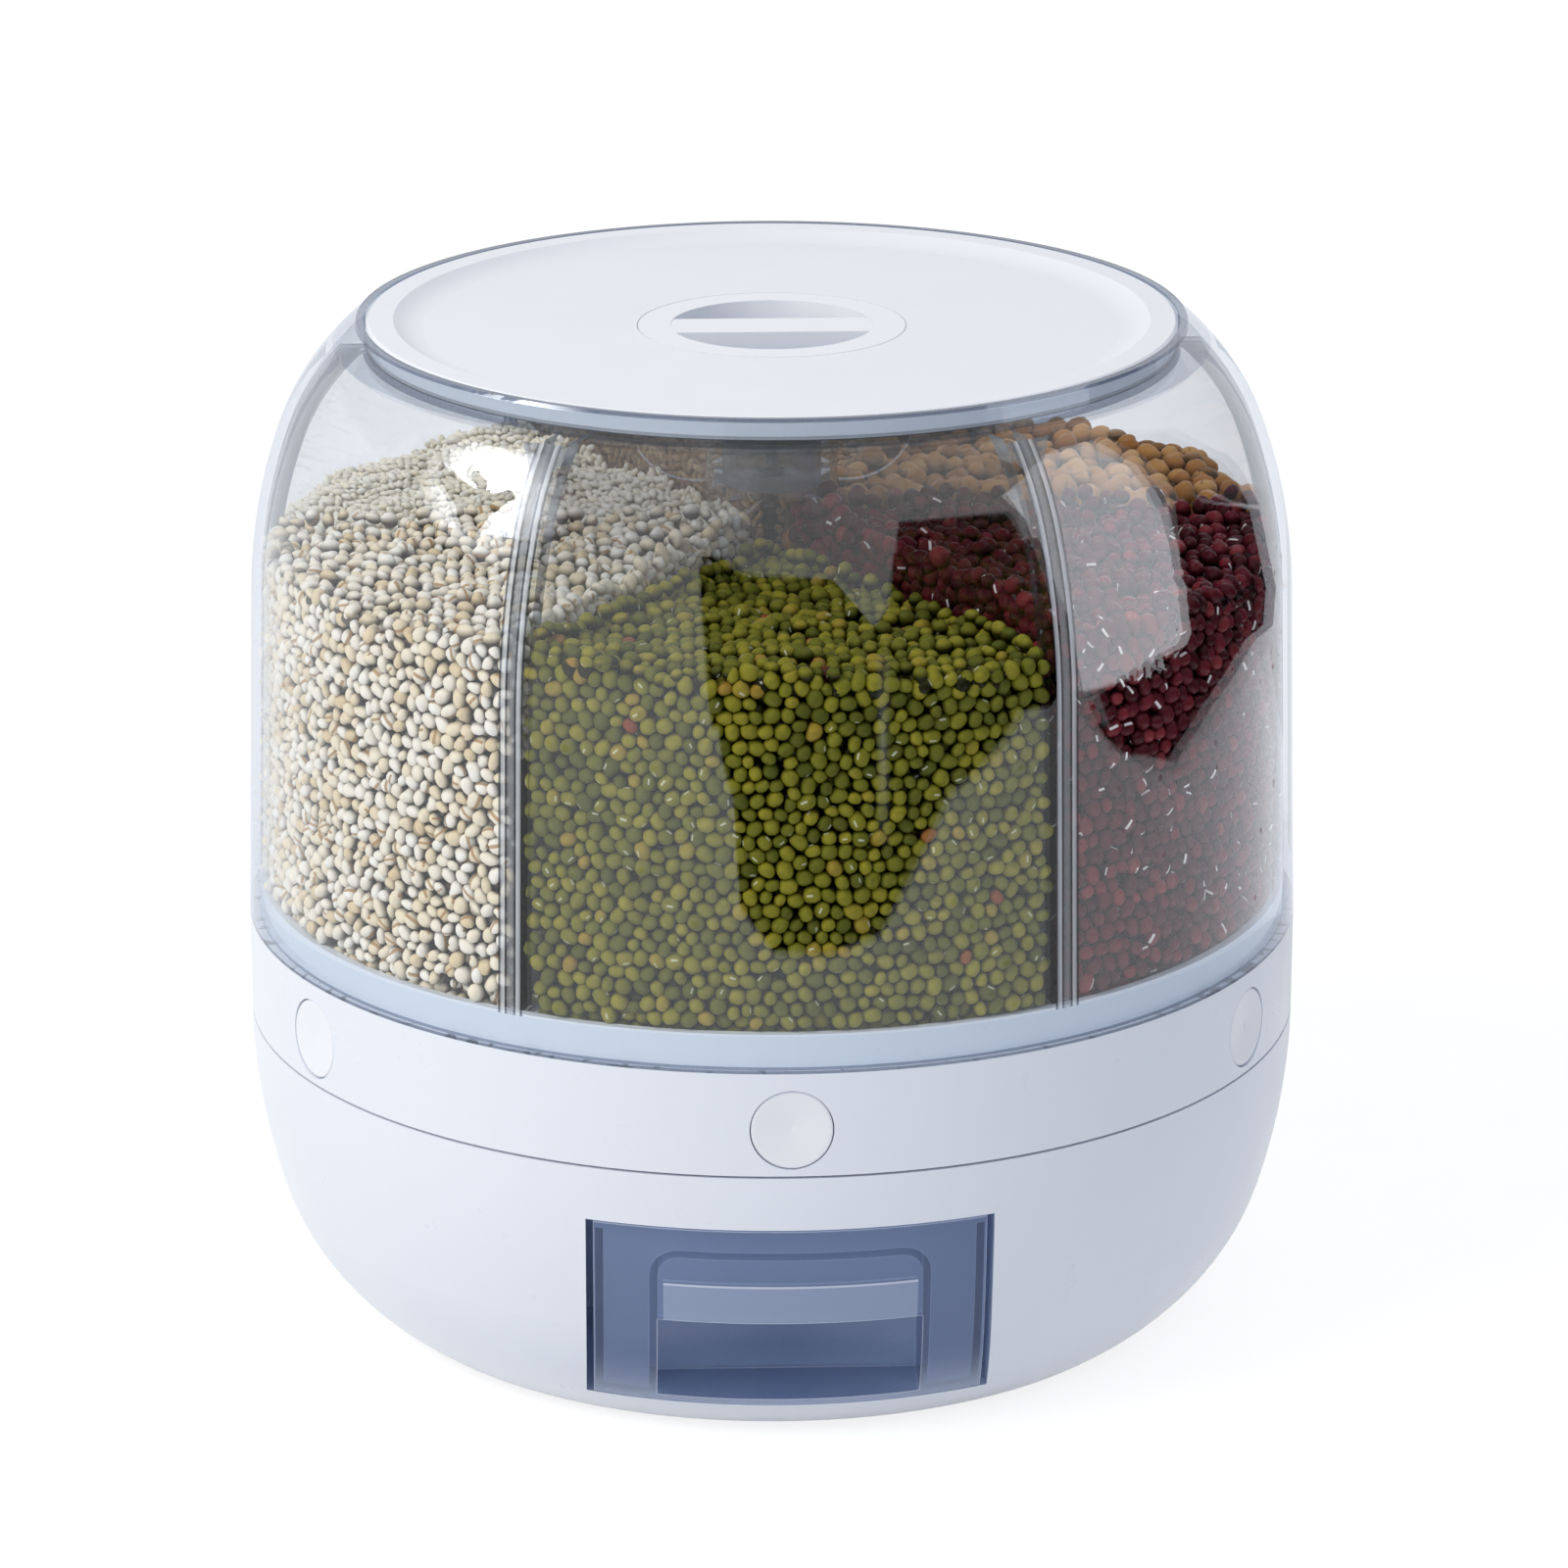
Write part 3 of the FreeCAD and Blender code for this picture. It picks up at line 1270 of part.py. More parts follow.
def lid_panel():
    body = new_body("lid_panel")
    rim = lid_radius - s.lid_rim
    dish = rim - root(s.lid_dish * (2 * s.lid_dish_arc - s.lid_dish))
    counterbore = s.knob_radius + s.knob_clearance
    cup_inner = knob_outer + s.cup_gap
    cup_outer = cup_inner + s.cup_wall
    seat_outer = counterbore + s.cup_wall
    under = lid_plane - s.lid_wall
    seat_under = flange_seat - s.cup_wall
    skirt_low = ledge_top + s.seal_gap + s.seal_height
    skirt_inner = lid_radius - s.lid_skirt_wall
    stem_hole = s.stem_radius + s.stem_collar
    revolve(body, "panel", [[
        (lid_radius, skirt_low), (lid_radius, shell_top - s.lid_bevel), (lid_radius - s.lid_bevel, shell_top),
        (rim, shell_top, arc_to_next(s.lid_dish_arc, left=False)),
        (dish, lid_plane), (counterbore, lid_plane), (counterbore, flange_seat), (cup_inner, flange_seat),
        (cup_inner, cup_floor), (stem_hole, cup_floor), (stem_hole, cup_under),
        (cup_outer - s.cup_corner, cup_under), (cup_outer, cup_under + s.cup_corner),
        (cup_outer, seat_under - s.cup_corner), (seat_outer, seat_under), (seat_outer, under),
        (skirt_inner - s.lid_rim, under), (skirt_inner, shell_top - s.lid_wall),
        (skirt_inner, skirt_low),
    ]])
    return body


def lid_seal():
    body = new_body("lid_seal")
    low = ledge_top + s.seal_gap
    outer = lid_radius - s.screw_clearance
    revolve(body, "ring", [rectangle(outer - s.seal_width, low, outer, low + s.seal_height)])
    return body


def lid_knob():
    body = new_body("lid_knob")
    floor_z = lid_plane - s.knob_recess_depth
    revolve(body, "bowl", [[
        (0, knob_bottom), (knob_outer, knob_bottom), (knob_outer, lid_plane - s.knob_flange),
        (s.knob_radius, lid_plane - s.knob_flange), (s.knob_radius, lid_plane),
        (s.knob_recess_radius, lid_plane),
        (s.knob_recess_radius - s.knob_taper, floor_z + s.knob_recess_slope), (s.knob_recess_floor, floor_z),
        (0, floor_z),
    ]])
    reach = s.knob_recess_radius + s.knob_wall / 2
    bar = rectangle(-reach, -s.knob_bar / 2, reach, s.knob_bar / 2)
    pad(body, "bar", loop_sketch(body, "bar_outline", "XY_Plane", [bar], lift=knob_bottom + s.knob_wall / 2),
        lid_plane - s.knob_bar_drop - knob_bottom - s.knob_wall / 2)
    bore = circle_sketch(body, "screw_outline", "XY_Plane", [(0, 0, s.screw_radius + s.press_clearance)],
                         lift=knob_bottom)
    pocket(body, "screw_hole", bore, knob_screw_bite() + s.screw_clearance, reverse=True)
    return body


def knob_screw_seat():
    """Height of the screw head's seat inside the stem."""
    return stem_low + s.lug_height


def knob_screw_bite():
    """How far the screw reaches into the knob."""
    return knob_screw_seat() + s.knob_screw_length - knob_bottom


def knob_stem():
    body = new_body("knob_stem")
    clip_high = cup_under - s.seal_gap
    clip_low = clip_high - s.clip_thickness - s.seal_gap
    neck = s.stem_radius - s.clip_groove
    hole = s.screw_radius + s.screw_clearance
    head = s.screw_head_radius + s.screw_clearance
    seat = knob_screw_seat()
    revolve(body, "stem", [[
        (hole, seat), (head, seat), (head, stem_low), (s.stem_radius, stem_low), (s.stem_radius, clip_low),
        (neck, clip_low), (neck, clip_high), (s.stem_radius, clip_high), (s.stem_radius, knob_bottom),
        (hole, knob_bottom),
    ]])
    reach = s.stem_radius + s.lug_reach
    start = s.stem_radius - s.clip_groove
    lugs = []
    for side in (-1.0, 1.0):
        ends = sorted((side * start, side * reach), key=lambda value: value.number)
        lugs.append(rectangle(ends[0], -s.lug_width / 2, ends[1], s.lug_width / 2))
    pad(body, "lugs", loop_sketch(body, "lug_outline", "XY_Plane", lugs, lift=stem_low), s.lug_height)
    return body


def knob_screw():
    return screw("knob_screw", as_size(0), as_size(0), knob_screw_seat(), s.knob_screw_length, s.screw_head)


def stem_clip():
    body = new_body("stem_clip")
    inner = s.stem_radius - s.clip_groove + s.press_clearance
    high = cup_under - s.seal_gap
    low = high - s.clip_thickness
    ring = circle_sketch(body, "ring_outline", "XY_Plane", [(0, 0, s.clip_radius), (0, 0, inner)], lift=low)
    pad(body, "ring", ring, s.clip_thickness)
    return body


def build():
    made = [
        base_shell(), bottom_plate(), rubber_feet(), base_screws(), base_deck(), chute(), hub_bush(),
        tray_bay(), tray(), roller_cage(), bearing_rollers(), band_ring(), carousel_floor(), gate_cover(),
        cover_screws(), clear_shell(), centre_column(), spindle(), spindle_washer(), spindle_nut(),
        lid_panel(), lid_seal(), lid_knob(), knob_stem(), knob_screw(), stem_clip(),
    ]
    for number in range(1, SECTIONS + 1):
        made += [divider_vane(number), button(number), gate(number), gate_spring(number)]
    return made


def write_parts(made):
    """Checks every object and every solid, then writes one file for each piece."""
    doc.recompute()
    for item in doc.Objects:
        if "Invalid" in item.State or "Error" in item.State:
            raise RuntimeError(f"{item.Name} is {item.State}")
    os.makedirs("parts", exist_ok=True)
    for piece in made:
        shape = piece.Shape
        if shape.isNull() or not shape.isValid():
            raise RuntimeError(f"{piece.Label} has no valid shape")
        shape.exportStep(os.path.join("parts", f"{piece.Label}.step"))


write_parts(build())
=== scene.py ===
import math

import bpy
import numpy as np
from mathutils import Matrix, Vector


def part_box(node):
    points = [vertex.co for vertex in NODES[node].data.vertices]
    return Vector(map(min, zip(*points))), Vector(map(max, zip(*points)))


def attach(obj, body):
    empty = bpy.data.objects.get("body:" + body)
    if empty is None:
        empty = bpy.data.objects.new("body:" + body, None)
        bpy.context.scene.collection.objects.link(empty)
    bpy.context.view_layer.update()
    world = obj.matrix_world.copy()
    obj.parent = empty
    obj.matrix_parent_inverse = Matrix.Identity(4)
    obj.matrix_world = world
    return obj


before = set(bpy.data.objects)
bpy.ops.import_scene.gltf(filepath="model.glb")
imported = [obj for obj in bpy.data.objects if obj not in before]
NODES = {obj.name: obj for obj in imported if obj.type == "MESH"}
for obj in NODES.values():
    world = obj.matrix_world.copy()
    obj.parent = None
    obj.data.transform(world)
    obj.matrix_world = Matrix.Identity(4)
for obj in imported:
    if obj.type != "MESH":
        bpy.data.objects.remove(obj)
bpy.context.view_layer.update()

# Rotating grain dispenser, dressed for a product picture.
# Metres, +Z up, the drawer towards -Y. The solids come from the frame; this script adds their materials,
# the grain in the drum, the lights, the floor and the camera.

# The camera at the picture's place, found from the drum's outline
PICTURE_SIZE = 1600
CAMERA_AIM = Vector((0.0, 0.0, 0.1498))
CAMERA_DISTANCE = 1.8016
CAMERA_AZIMUTH = math.radians(-2.07)
CAMERA_ELEVATION = math.radians(18.06)
CAMERA_LENS = 144.04
CAMERA_SENSOR = 36.0
CAMERA_SHIFT = 0.00783


class Nodes:
    """A short way to write a node tree."""

    def __init__(self, tree):
        self.tree = tree
        tree.nodes.clear()

    def add(self, kind, **settings):
        node = self.tree.nodes.new(kind)
        for name, value in settings.items():
            setattr(node, name, value)
        return node

    def link(self, source, target):
        self.tree.links.new(source, target)

    def put(self, value, socket):
        if isinstance(value, bpy.types.NodeSocket):
            self.link(value, socket)
        elif isinstance(value, tuple):
            socket.default_value = (*value, 1.0) if len(value) == 3 else value
        else:
            socket.default_value = value

    def position(self):
        return self.add("ShaderNodeTexCoord").outputs["Object"]

    def noise(self, scale, detail=3.0, rough=0.5):
        node = self.add("ShaderNodeTexNoise")
        node.inputs["Scale"].default_value = scale
        node.inputs["Detail"].default_value = detail
        node.inputs["Roughness"].default_value = rough
        self.link(self.position(), node.inputs["Vector"])
        return node.outputs["Fac"]

    def ramp(self, value, stops):
        node = self.add("ShaderNodeValToRGB")
        self.link(value, node.inputs["Fac"])
        elements = node.color_ramp.elements
        while len(elements) < len(stops):
            elements.new(0.5)
        for element, (place, color) in zip(elements, stops):
            element.position = place
            element.color = (*color, 1.0)
        return node.outputs["Color"]

    def span(self, value, low, high, to_low, to_high):
        node = self.add("ShaderNodeMapRange")
        self.link(value, node.inputs["Value"])
        for name, number in (("From Min", low), ("From Max", high), ("To Min", to_low), ("To Max", to_high)):
            node.inputs[name].default_value = number
        return node.outputs["Result"]

    def cloud(self, scale, to_low=0.0, to_high=1.0, detail=3.0):
        """Soft noise stretched over a range."""
        return self.span(self.noise(scale, detail), 0.3, 0.7, to_low, to_high)

    def mix(self, factor, first, second):
        node = self.add("ShaderNodeMix", data_type="RGBA")
        self.put(factor, node.inputs["Factor"])
        self.put(first, node.inputs["A"])
        self.put(second, node.inputs["B"])
        return node.outputs["Result"]

    def multiply(self, first, second):
        node = self.add("ShaderNodeMix", data_type="RGBA", blend_type="MULTIPLY")
        node.inputs["Factor"].default_value = 1.0
        self.put(first, node.inputs["A"])
        self.put(second, node.inputs["B"])
        return node.outputs["Result"]

    def math(self, operation, first, second=0.0):
        node = self.add("ShaderNodeMath", operation=operation)
        self.put(first, node.inputs[0])
        self.put(second, node.inputs[1])
        return node.outputs["Value"]

    def times(self, first, second):
        return self.math("MULTIPLY", first, second)

    def plus(self, first, second):
        return self.math("ADD", first, second)

    def less(self, first, second):
        return self.math("SUBTRACT", first, second)

    def above(self, value, limit):
        return self.math("GREATER_THAN", value, limit)

    def below(self, value, limit):
        return self.math("LESS_THAN", value, limit)

    def bump(self, height, strength, distance):
        node = self.add("ShaderNodeBump")
        node.inputs["Strength"].default_value = strength
        node.inputs["Distance"].default_value = distance
        self.link(height, node.inputs["Height"])
        return node.outputs["Normal"]

    def facing(self):
        """0 where a surface is seen face on, 1 along its outline."""
        node = self.add("ShaderNodeLayerWeight")
        node.inputs["Blend"].default_value = 0.5
        return node.outputs["Facing"]

    def is_light(self):
        """1 for light on its way to the grain and the inside, 0 for what is looked at."""
        path = self.add("ShaderNodeLightPath")
        return self.math("MAXIMUM", path.outputs["Is Shadow Ray"], path.outputs["Is Diffuse Ray"])

    def principled(self, **values):
        node = self.add("ShaderNodeBsdfPrincipled")
        for name, value in values.items():
            self.put(value, node.inputs[name.replace("_", " ")])
        return node.outputs["BSDF"]

    def blend(self, factor, first, second):
        node = self.add("ShaderNodeMixShader")
        self.put(factor, node.inputs["Fac"])
        self.link(first, node.inputs[1])
        self.link(second, node.inputs[2])
        return node.outputs["Shader"]

    def finish(self, shader):
        self.link(shader, self.add("ShaderNodeOutputMaterial").inputs["Surface"])


def new_material(name):
    material = bpy.data.materials.new(name)
    material.use_nodes = True
    return material, Nodes(material.node_tree)


def dress(names, material):
    """Gives CAD nodes a material."""
    for name in names:
        for place in NODES[name].material_slots:
            place.material = material


def numbered(name):
    return [f"{name}_{i}" for i in range(1, 7)]


# Materials of the solids

WHITE = (0.81, 0.855, 0.945)
WHITE_LID = (0.86, 0.89, 0.955)
# Painted shade for the knob's finger recess
WHITE_RECESS_SHADE = (0.66, 0.76, 0.95)
CLEAR_STOPS = [(0.0, (0.975, 0.982, 0.99)), (0.72, (0.94, 0.95, 0.965)), (0.90, (0.76, 0.79, 0.84)),
               (0.97, (0.58, 0.62, 0.69)), (1.0, (0.40, 0.43, 0.49))]
INNER_STOPS = [(0.0, (0.97, 0.975, 0.985)), (0.60, (0.88, 0.89, 0.91)), (0.85, (0.62, 0.64, 0.68)),
               (1.0, (0.30, 0.32, 0.36))]
# Painted shade for the thin dark lines where the drum's top rim, neck ledge and foot bend light
LINE_SHADE = (0.42, 0.45, 0.52)
CLEAR = (1.0, 1.0, 1.0)
LIGHT_TINT = (0.985, 0.99, 0.995)
CLOUD_SHADE = 0.985
MIRROR_FACE_ON = 0.04
MIRROR_GRAZING = 0.90
MIRROR_POWER = 5.0
LID_GLOW = 0.70
SMOKE_STOPS = [(0.0, (0.72, 0.74, 0.77)), (0.7, (0.52, 0.54, 0.58)), (1.0, (0.20, 0.21, 0.24))]
SMOKE_SHARE = 0.35
DRAWER_STOPS = [(0.0, (0.53, 0.59, 0.72)), (0.6, (0.475, 0.53, 0.67)), (0.9, (0.34, 0.40, 0.58)),
                (1.0, (0.20, 0.24, 0.40))]
DRAWER_LIGHT_TINT = (0.86, 0.90, 0.97)
DRAWER_SHARE = 0.38
DRAWER_HIDDEN_SHARE = 0.24
DRAWER_EDGE_SHARE = 0.35
DRAWER_LIP_SHARE = 0.13
DRAWER_LIGHT_CUT = 0.65

# Sizes in the drum that its lines follow
SHELL_LOW, SHELL_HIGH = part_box("clear_shell")
RIB_FOOT = SHELL_LOW[2] + 0.0105
LEDGE_TOP = SHELL_HIGH[2] - 0.0064
LEDGE_BOTTOM = LEDGE_TOP - 0.0020
COLLAR_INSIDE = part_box("lid_panel")[1][0] + 0.0010
RING_BLUR = 0.0003
TOP_LINE = 0.0008
FOOT_LINE = 0.0009
RIB_SPAN = 0.006
KNOB_DEPTH = 0.0145
LIP_RISE = 0.0305
LIP_HEIGHT = 0.0120
LIP_EDGE = 0.0007
LIP_HALF = 0.0345
LIP_FRONT = -0.132
# Painted shade on the drum's ribs: dark lines and paler bands where the ribs bend light, by distance from a
# vane's plane
RIB_SHADE_LINES = [(0.0, (0.62, 0.65, 0.71)), (0.16, (0.58, 0.61, 0.67)), (0.19, (0.22, 0.24, 0.29)),
             (0.26, (0.26, 0.28, 0.33)), (0.29, (0.78, 0.81, 0.86)), (0.48, (0.70, 0.74, 0.80)),
             (0.52, (0.26, 0.28, 0.34)), (0.60, (0.22, 0.24, 0.29)), (0.64, (1.0, 1.0, 1.0))]
# Painted highlight on the ribs: the share of pale matt colour, by the same distance
RIB_HIGHLIGHTS = [(0.0, (0.22, 0.22, 0.22)), (0.16, (0.16, 0.16, 0.16)), (0.19, (0.02, 0.02, 0.02)),
             (0.27, (0.02, 0.02, 0.02)), (0.31, (0.55, 0.55, 0.55)), (0.40, (0.42, 0.42, 0.42)),
             (0.49, (0.30, 0.30, 0.30)), (0.53, (0.02, 0.02, 0.02)), (0.56, (0.0, 0.0, 0.0))]
# Painted shade over the drum's neck and over its foot
NECK_SHADE = (0.76, 0.79, 0.83)
FOOT_SHADE = (0.90, 0.93, 0.955)
# Painted shade and a faint painted highlight on the wedges where the ribs meet the neck
BRACKET_SHADE = (0.52, 0.58, 0.67)
BRACKET_DROP = 0.010
BRACKET_HALF = 0.0085
BRACKET_HIGHLIGHT = 0.14


def clouded(n, color):
    """A colour with a faint cloudiness."""
    return n.mix(n.cloud(14.0), tuple(c * CLOUD_SHADE for c in color), color)


def moulded_skin(n):
    """The slight unevenness of moulded plastic."""
    return n.bump(n.noise(420.0, 1.0), 0.03, 0.00002)


def white_plastic(name, color, roughness):
    """Moulded glossy plastic, faintly cloudy in its colour and gloss."""
    material, n = new_material(name)
    n.finish(n.principled(
        Base_Color=clouded(n, color), Roughness=n.cloud(60.0, roughness - 0.03, roughness + 0.04),
        Normal=moulded_skin(n), IOR=1.48,
    ))
    return material


def glowing_through(n, shader, share):
    """Thin plastic that lets a share of the light pass."""
    through = n.add("ShaderNodeBsdfTransparent")
    n.put(CLEAR, through.inputs["Color"])
    return n.blend(n.times(n.is_light(), share), shader, through.outputs["BSDF"])


def lid_plastic():
    """The lid's thin white plastic."""
    material, n = new_material("white_lid_plastic")
    n.finish(glowing_through(n, n.principled(
        Base_Color=clouded(n, WHITE_LID), Roughness=n.cloud(60.0, 0.31, 0.38),
        Normal=moulded_skin(n), IOR=1.48,
    ), LID_GLOW))
    return material


def clear_skin(n, tint):
    """A see-through wall with a tint and a polished skin that mirrors more towards its outline."""
    passing = n.is_light()
    through = n.add("ShaderNodeBsdfTransparent")
    n.link(n.mix(passing, tint, LIGHT_TINT), through.inputs["Color"])
    gloss = n.add("ShaderNodeBsdfGlossy")
    n.put(n.cloud(40.0, 0.015, 0.035), gloss.inputs["Roughness"])
    gloss.inputs["Color"].default_value = (0.93, 0.95, 0.98, 1.0)
    n.link(n.bump(n.noise(9.0, 2.0), 0.02, 0.002), gloss.inputs["Normal"])
    mirror = n.plus(n.times(n.math("POWER", n.facing(), MIRROR_POWER), MIRROR_GRAZING), MIRROR_FACE_ON)
    mirror = n.times(mirror, n.less(1.0, passing))
    return n.blend(mirror, through.outputs["BSDF"], gloss.outputs["BSDF"])


def within(n, value, low, high):
    """1 between two limits, else 0."""
    return n.times(n.above(value, low), n.below(value, high))


def vane_distance(n, x, y):
    """How far a place is from the nearest of the vanes' planes."""
    gaps = []
    for turn in (0.0, 60.0, 120.0):
        angle = math.radians(turn)
        sideways = n.plus(n.times(x, -math.sin(angle)), n.times(y, math.cos(angle)))
        gaps.append(n.math("ABSOLUTE", sideways))
    return n.math("MINIMUM", n.math("MINIMUM", gaps[0], gaps[1]), gaps[2])


def outer_face(n, place):
    """1 on the drum's outer face, 0 on its inner ones."""
    shape = n.add("ShaderNodeNewGeometry")
    normal = n.add("ShaderNodeSeparateXYZ")
    n.link(n.add("ShaderNodeTexCoord").outputs["Normal"], normal.inputs["Vector"])
    outward = n.plus(n.times(place.outputs["X"], normal.outputs["X"]),
                     n.times(place.outputs["Y"], normal.outputs["Y"]))
    side = n.less(1.0, n.times(shape.outputs["Backfacing"], 2.0))
    return n.above(n.times(outward, side), 0.0)


def drum_plastic():
    """The drum's clear plastic, grey-blue at its outline, with painted shade lines and painted highlights
    where ribs, neck and foot bend light.
    """
    material, n = new_material("clear_drum_plastic")
    parts = n.add("ShaderNodeSeparateXYZ")
    n.link(n.position(), parts.inputs["Vector"])
    height = parts.outputs["Z"]
    distance = n.math("DIVIDE", vane_distance(n, parts.outputs["X"], parts.outputs["Y"]), RIB_SPAN)
    on_ribs = n.times(within(n, height, RIB_FOOT, LEDGE_BOTTOM), outer_face(n, parts))
    tint = n.ramp(n.facing(), CLEAR_STOPS)
    # Painted shade lines along the ribs, multiplied into the see-through tint
    rib_shade = n.mix(on_ribs, CLEAR, n.ramp(distance, RIB_SHADE_LINES))
    tint = n.multiply(tint, rib_shade)
    across = n.math("POWER", parts.outputs["X"], 2.0)
    radius = n.math("SQRT", n.plus(across, n.math("POWER", parts.outputs["Y"], 2.0)))
    ledge = n.times(n.below(radius, COLLAR_INSIDE),
                   within(n, height, LEDGE_BOTTOM - RING_BLUR, LEDGE_TOP + RING_BLUR))
    # Painted shade: dark lines at the top rim, the neck ledge and the foot
    shade_rings = n.math("MAXIMUM", n.above(height, SHELL_HIGH[2] - TOP_LINE), ledge)
    shade_rings = n.math("MAXIMUM", shade_rings, n.below(height, SHELL_LOW[2] + FOOT_LINE))
    tint = n.multiply(tint, n.mix(shade_rings, CLEAR, LINE_SHADE))
    # Painted shade over the neck and over the foot
    tint = n.multiply(tint, n.mix(n.above(height, LEDGE_TOP), CLEAR, NECK_SHADE))
    tint = n.multiply(tint, n.mix(n.below(height, RIB_FOOT), CLEAR, FOOT_SHADE))
    # Painted shade on wedges where the ribs meet the neck, widening upwards
    reach = n.span(height, LEDGE_BOTTOM - BRACKET_DROP, LEDGE_BOTTOM, 0.0, BRACKET_HALF / RIB_SPAN)
    bracket = n.times(n.below(distance, reach), outer_face(n, parts))
    bracket = n.times(bracket, n.below(height, LEDGE_BOTTOM))
    tint = n.multiply(tint, n.mix(bracket, CLEAR, BRACKET_SHADE))
    # Painted highlight: a pale matt share on the ribs and the brackets, left out for light on its way in
    painted_highlight = n.add("ShaderNodeBsdfDiffuse")
    n.put(n.mix(n.cloud(90.0), (0.80, 0.84, 0.90), (0.90, 0.93, 0.98)), painted_highlight.inputs["Color"])
    share = n.times(on_ribs, n.ramp(distance, RIB_HIGHLIGHTS))
    share = n.math("MAXIMUM", share, n.times(bracket, BRACKET_HIGHLIGHT))
    share = n.times(share, n.less(1.0, n.is_light()))
    n.finish(n.blend(share, clear_skin(n, tint), painted_highlight.outputs["BSDF"]))
    return material


def inner_plastic():
    """Clear plastic inside the drum."""
    material, n = new_material("clear_inner_plastic")
    n.finish(clear_skin(n, n.ramp(n.facing(), INNER_STOPS)))
    return material


def smoky_body(n):
    """Grey see-through plastic, dark along its outline."""
    through = n.add("ShaderNodeBsdfTransparent")
    n.link(n.ramp(n.facing(), SMOKE_STOPS), through.inputs["Color"])
    skin = n.principled(Base_Color=n.mix(n.cloud(40.0), (0.24, 0.25, 0.27), (0.30, 0.31, 0.34)),
                        Roughness=n.cloud(70.0, 0.08, 0.16), IOR=1.55)
    return n.blend(SMOKE_SHARE, through.outputs["BSDF"], skin)


def smoky_plastic():
    """The knob's stem."""
    material, n = new_material("smoky_clear_plastic")
    n.finish(smoky_body(n))
    return material


def knob_plastic():
    """The knob: the lid's white plastic with painted shade, bluer down in the finger recess, and a smoky cup
    below.
    """
    material, n = new_material("white_knob_plastic")
    parts = n.add("ShaderNodeSeparateXYZ")
    n.link(n.position(), parts.inputs["Vector"])
    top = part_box("lid_knob")[1][2]
    # Painted shade: the white turns bluer deeper in the finger recess
    deep = n.span(parts.outputs["Z"], top - KNOB_DEPTH, top - 0.002, 1.0, 0.0)
    white = n.principled(
        Base_Color=n.mix(deep, clouded(n, WHITE_LID), WHITE_RECESS_SHADE), Roughness=n.cloud(60.0, 0.20, 0.27),
        Normal=moulded_skin(n), IOR=1.48,
    )
    under = n.below(parts.outputs["Z"], top - KNOB_DEPTH - 0.0008)
    n.finish(n.blend(under, glowing_through(n, white, LID_GLOW), smoky_body(n)))
    return material


def edge_highlight_mask(n, radius):
    """1 along sharp edges, 0 on flats: where painted highlights go."""
    bevel = n.add("ShaderNodeBevel", samples=4)
    bevel.inputs["Radius"].default_value = radius
    dot = n.add("ShaderNodeVectorMath", operation="DOT_PRODUCT")
    n.link(bevel.outputs["Normal"], dot.inputs[0])
    n.link(n.add("ShaderNodeNewGeometry").outputs["Normal"], dot.inputs[1])
    return n.span(dot.outputs["Value"], 0.97, 0.80, 0.0, 1.0)


def lip_band(n):
    """1 on the rolled lip over the drawer's finger recess, and 1 along the lip's upper edge."""
    parts = n.add("ShaderNodeSeparateXYZ")
    n.link(n.position(), parts.inputs["Vector"])
    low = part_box("tray")[0][2] + LIP_RISE
    front = n.times(n.below(parts.outputs["Y"], LIP_FRONT),
                   within(n, parts.outputs["X"], -LIP_HALF, LIP_HALF))
    band = n.times(front, within(n, parts.outputs["Z"], low, low + LIP_HEIGHT))
    edge = n.times(front, within(n, parts.outputs["Z"], low + LIP_HEIGHT - LIP_EDGE, low + LIP_HEIGHT))
    return band, edge


def blue_plastic():
    """The drawer's smoky slate-blue plastic, which lets the inside show, with painted light in its recesses, a
    painted lighter strip on the lip and painted highlights along its edges.
    """
    material, n = new_material("slate_blue_plastic")
    through = n.add("ShaderNodeBsdfTransparent")
    tint = n.ramp(n.facing(), DRAWER_STOPS)
    n.link(n.mix(n.is_light(), tint, DRAWER_LIGHT_TINT), through.inputs["Color"])
    # Painted light: places shut in by nearby surfaces, such as the finger recess, get a paler blue and let
    # more of the inside show
    shade = n.add("ShaderNodeAmbientOcclusion", samples=4)
    shade.inputs["Distance"].default_value = 0.04
    painted_recess_light = n.span(shade.outputs["AO"], 0.2, 0.75, 1.0, 0.0)
    outside = n.mix(n.cloud(18.0), (0.155, 0.21, 0.355), (0.185, 0.245, 0.395))
    color = n.mix(painted_recess_light, outside, (0.66, 0.76, 0.95))
    # Painted highlight: a pale blue and more see-through along sharp edges and the lip's upper edge
    edges = edge_highlight_mask(n, 0.0007)
    band, line = lip_band(n)
    # Painted light: the lip over the finger recess is paler and more see-through
    color = n.mix(band, color, (0.46, 0.54, 0.72))
    edges = n.math("MAXIMUM", edges, n.times(line, 0.8))
    body = n.principled(
        Base_Color=n.mix(edges, color, (0.72, 0.78, 0.92)),
        Roughness=n.cloud(70.0, 0.10, 0.18), IOR=1.5, Normal=n.bump(n.noise(1800.0, 2.0), 0.04, 0.00002),
    )
    share = n.plus(n.times(painted_recess_light, DRAWER_HIDDEN_SHARE), DRAWER_SHARE)
    share = n.plus(n.times(edges, DRAWER_EDGE_SHARE), share)
    share = n.plus(share, n.times(band, DRAWER_LIP_SHARE))
    share = n.times(share, n.less(1.0, n.times(n.is_light(), DRAWER_LIGHT_CUT)))
    n.finish(n.blend(share, through.outputs["BSDF"], body))
    return material


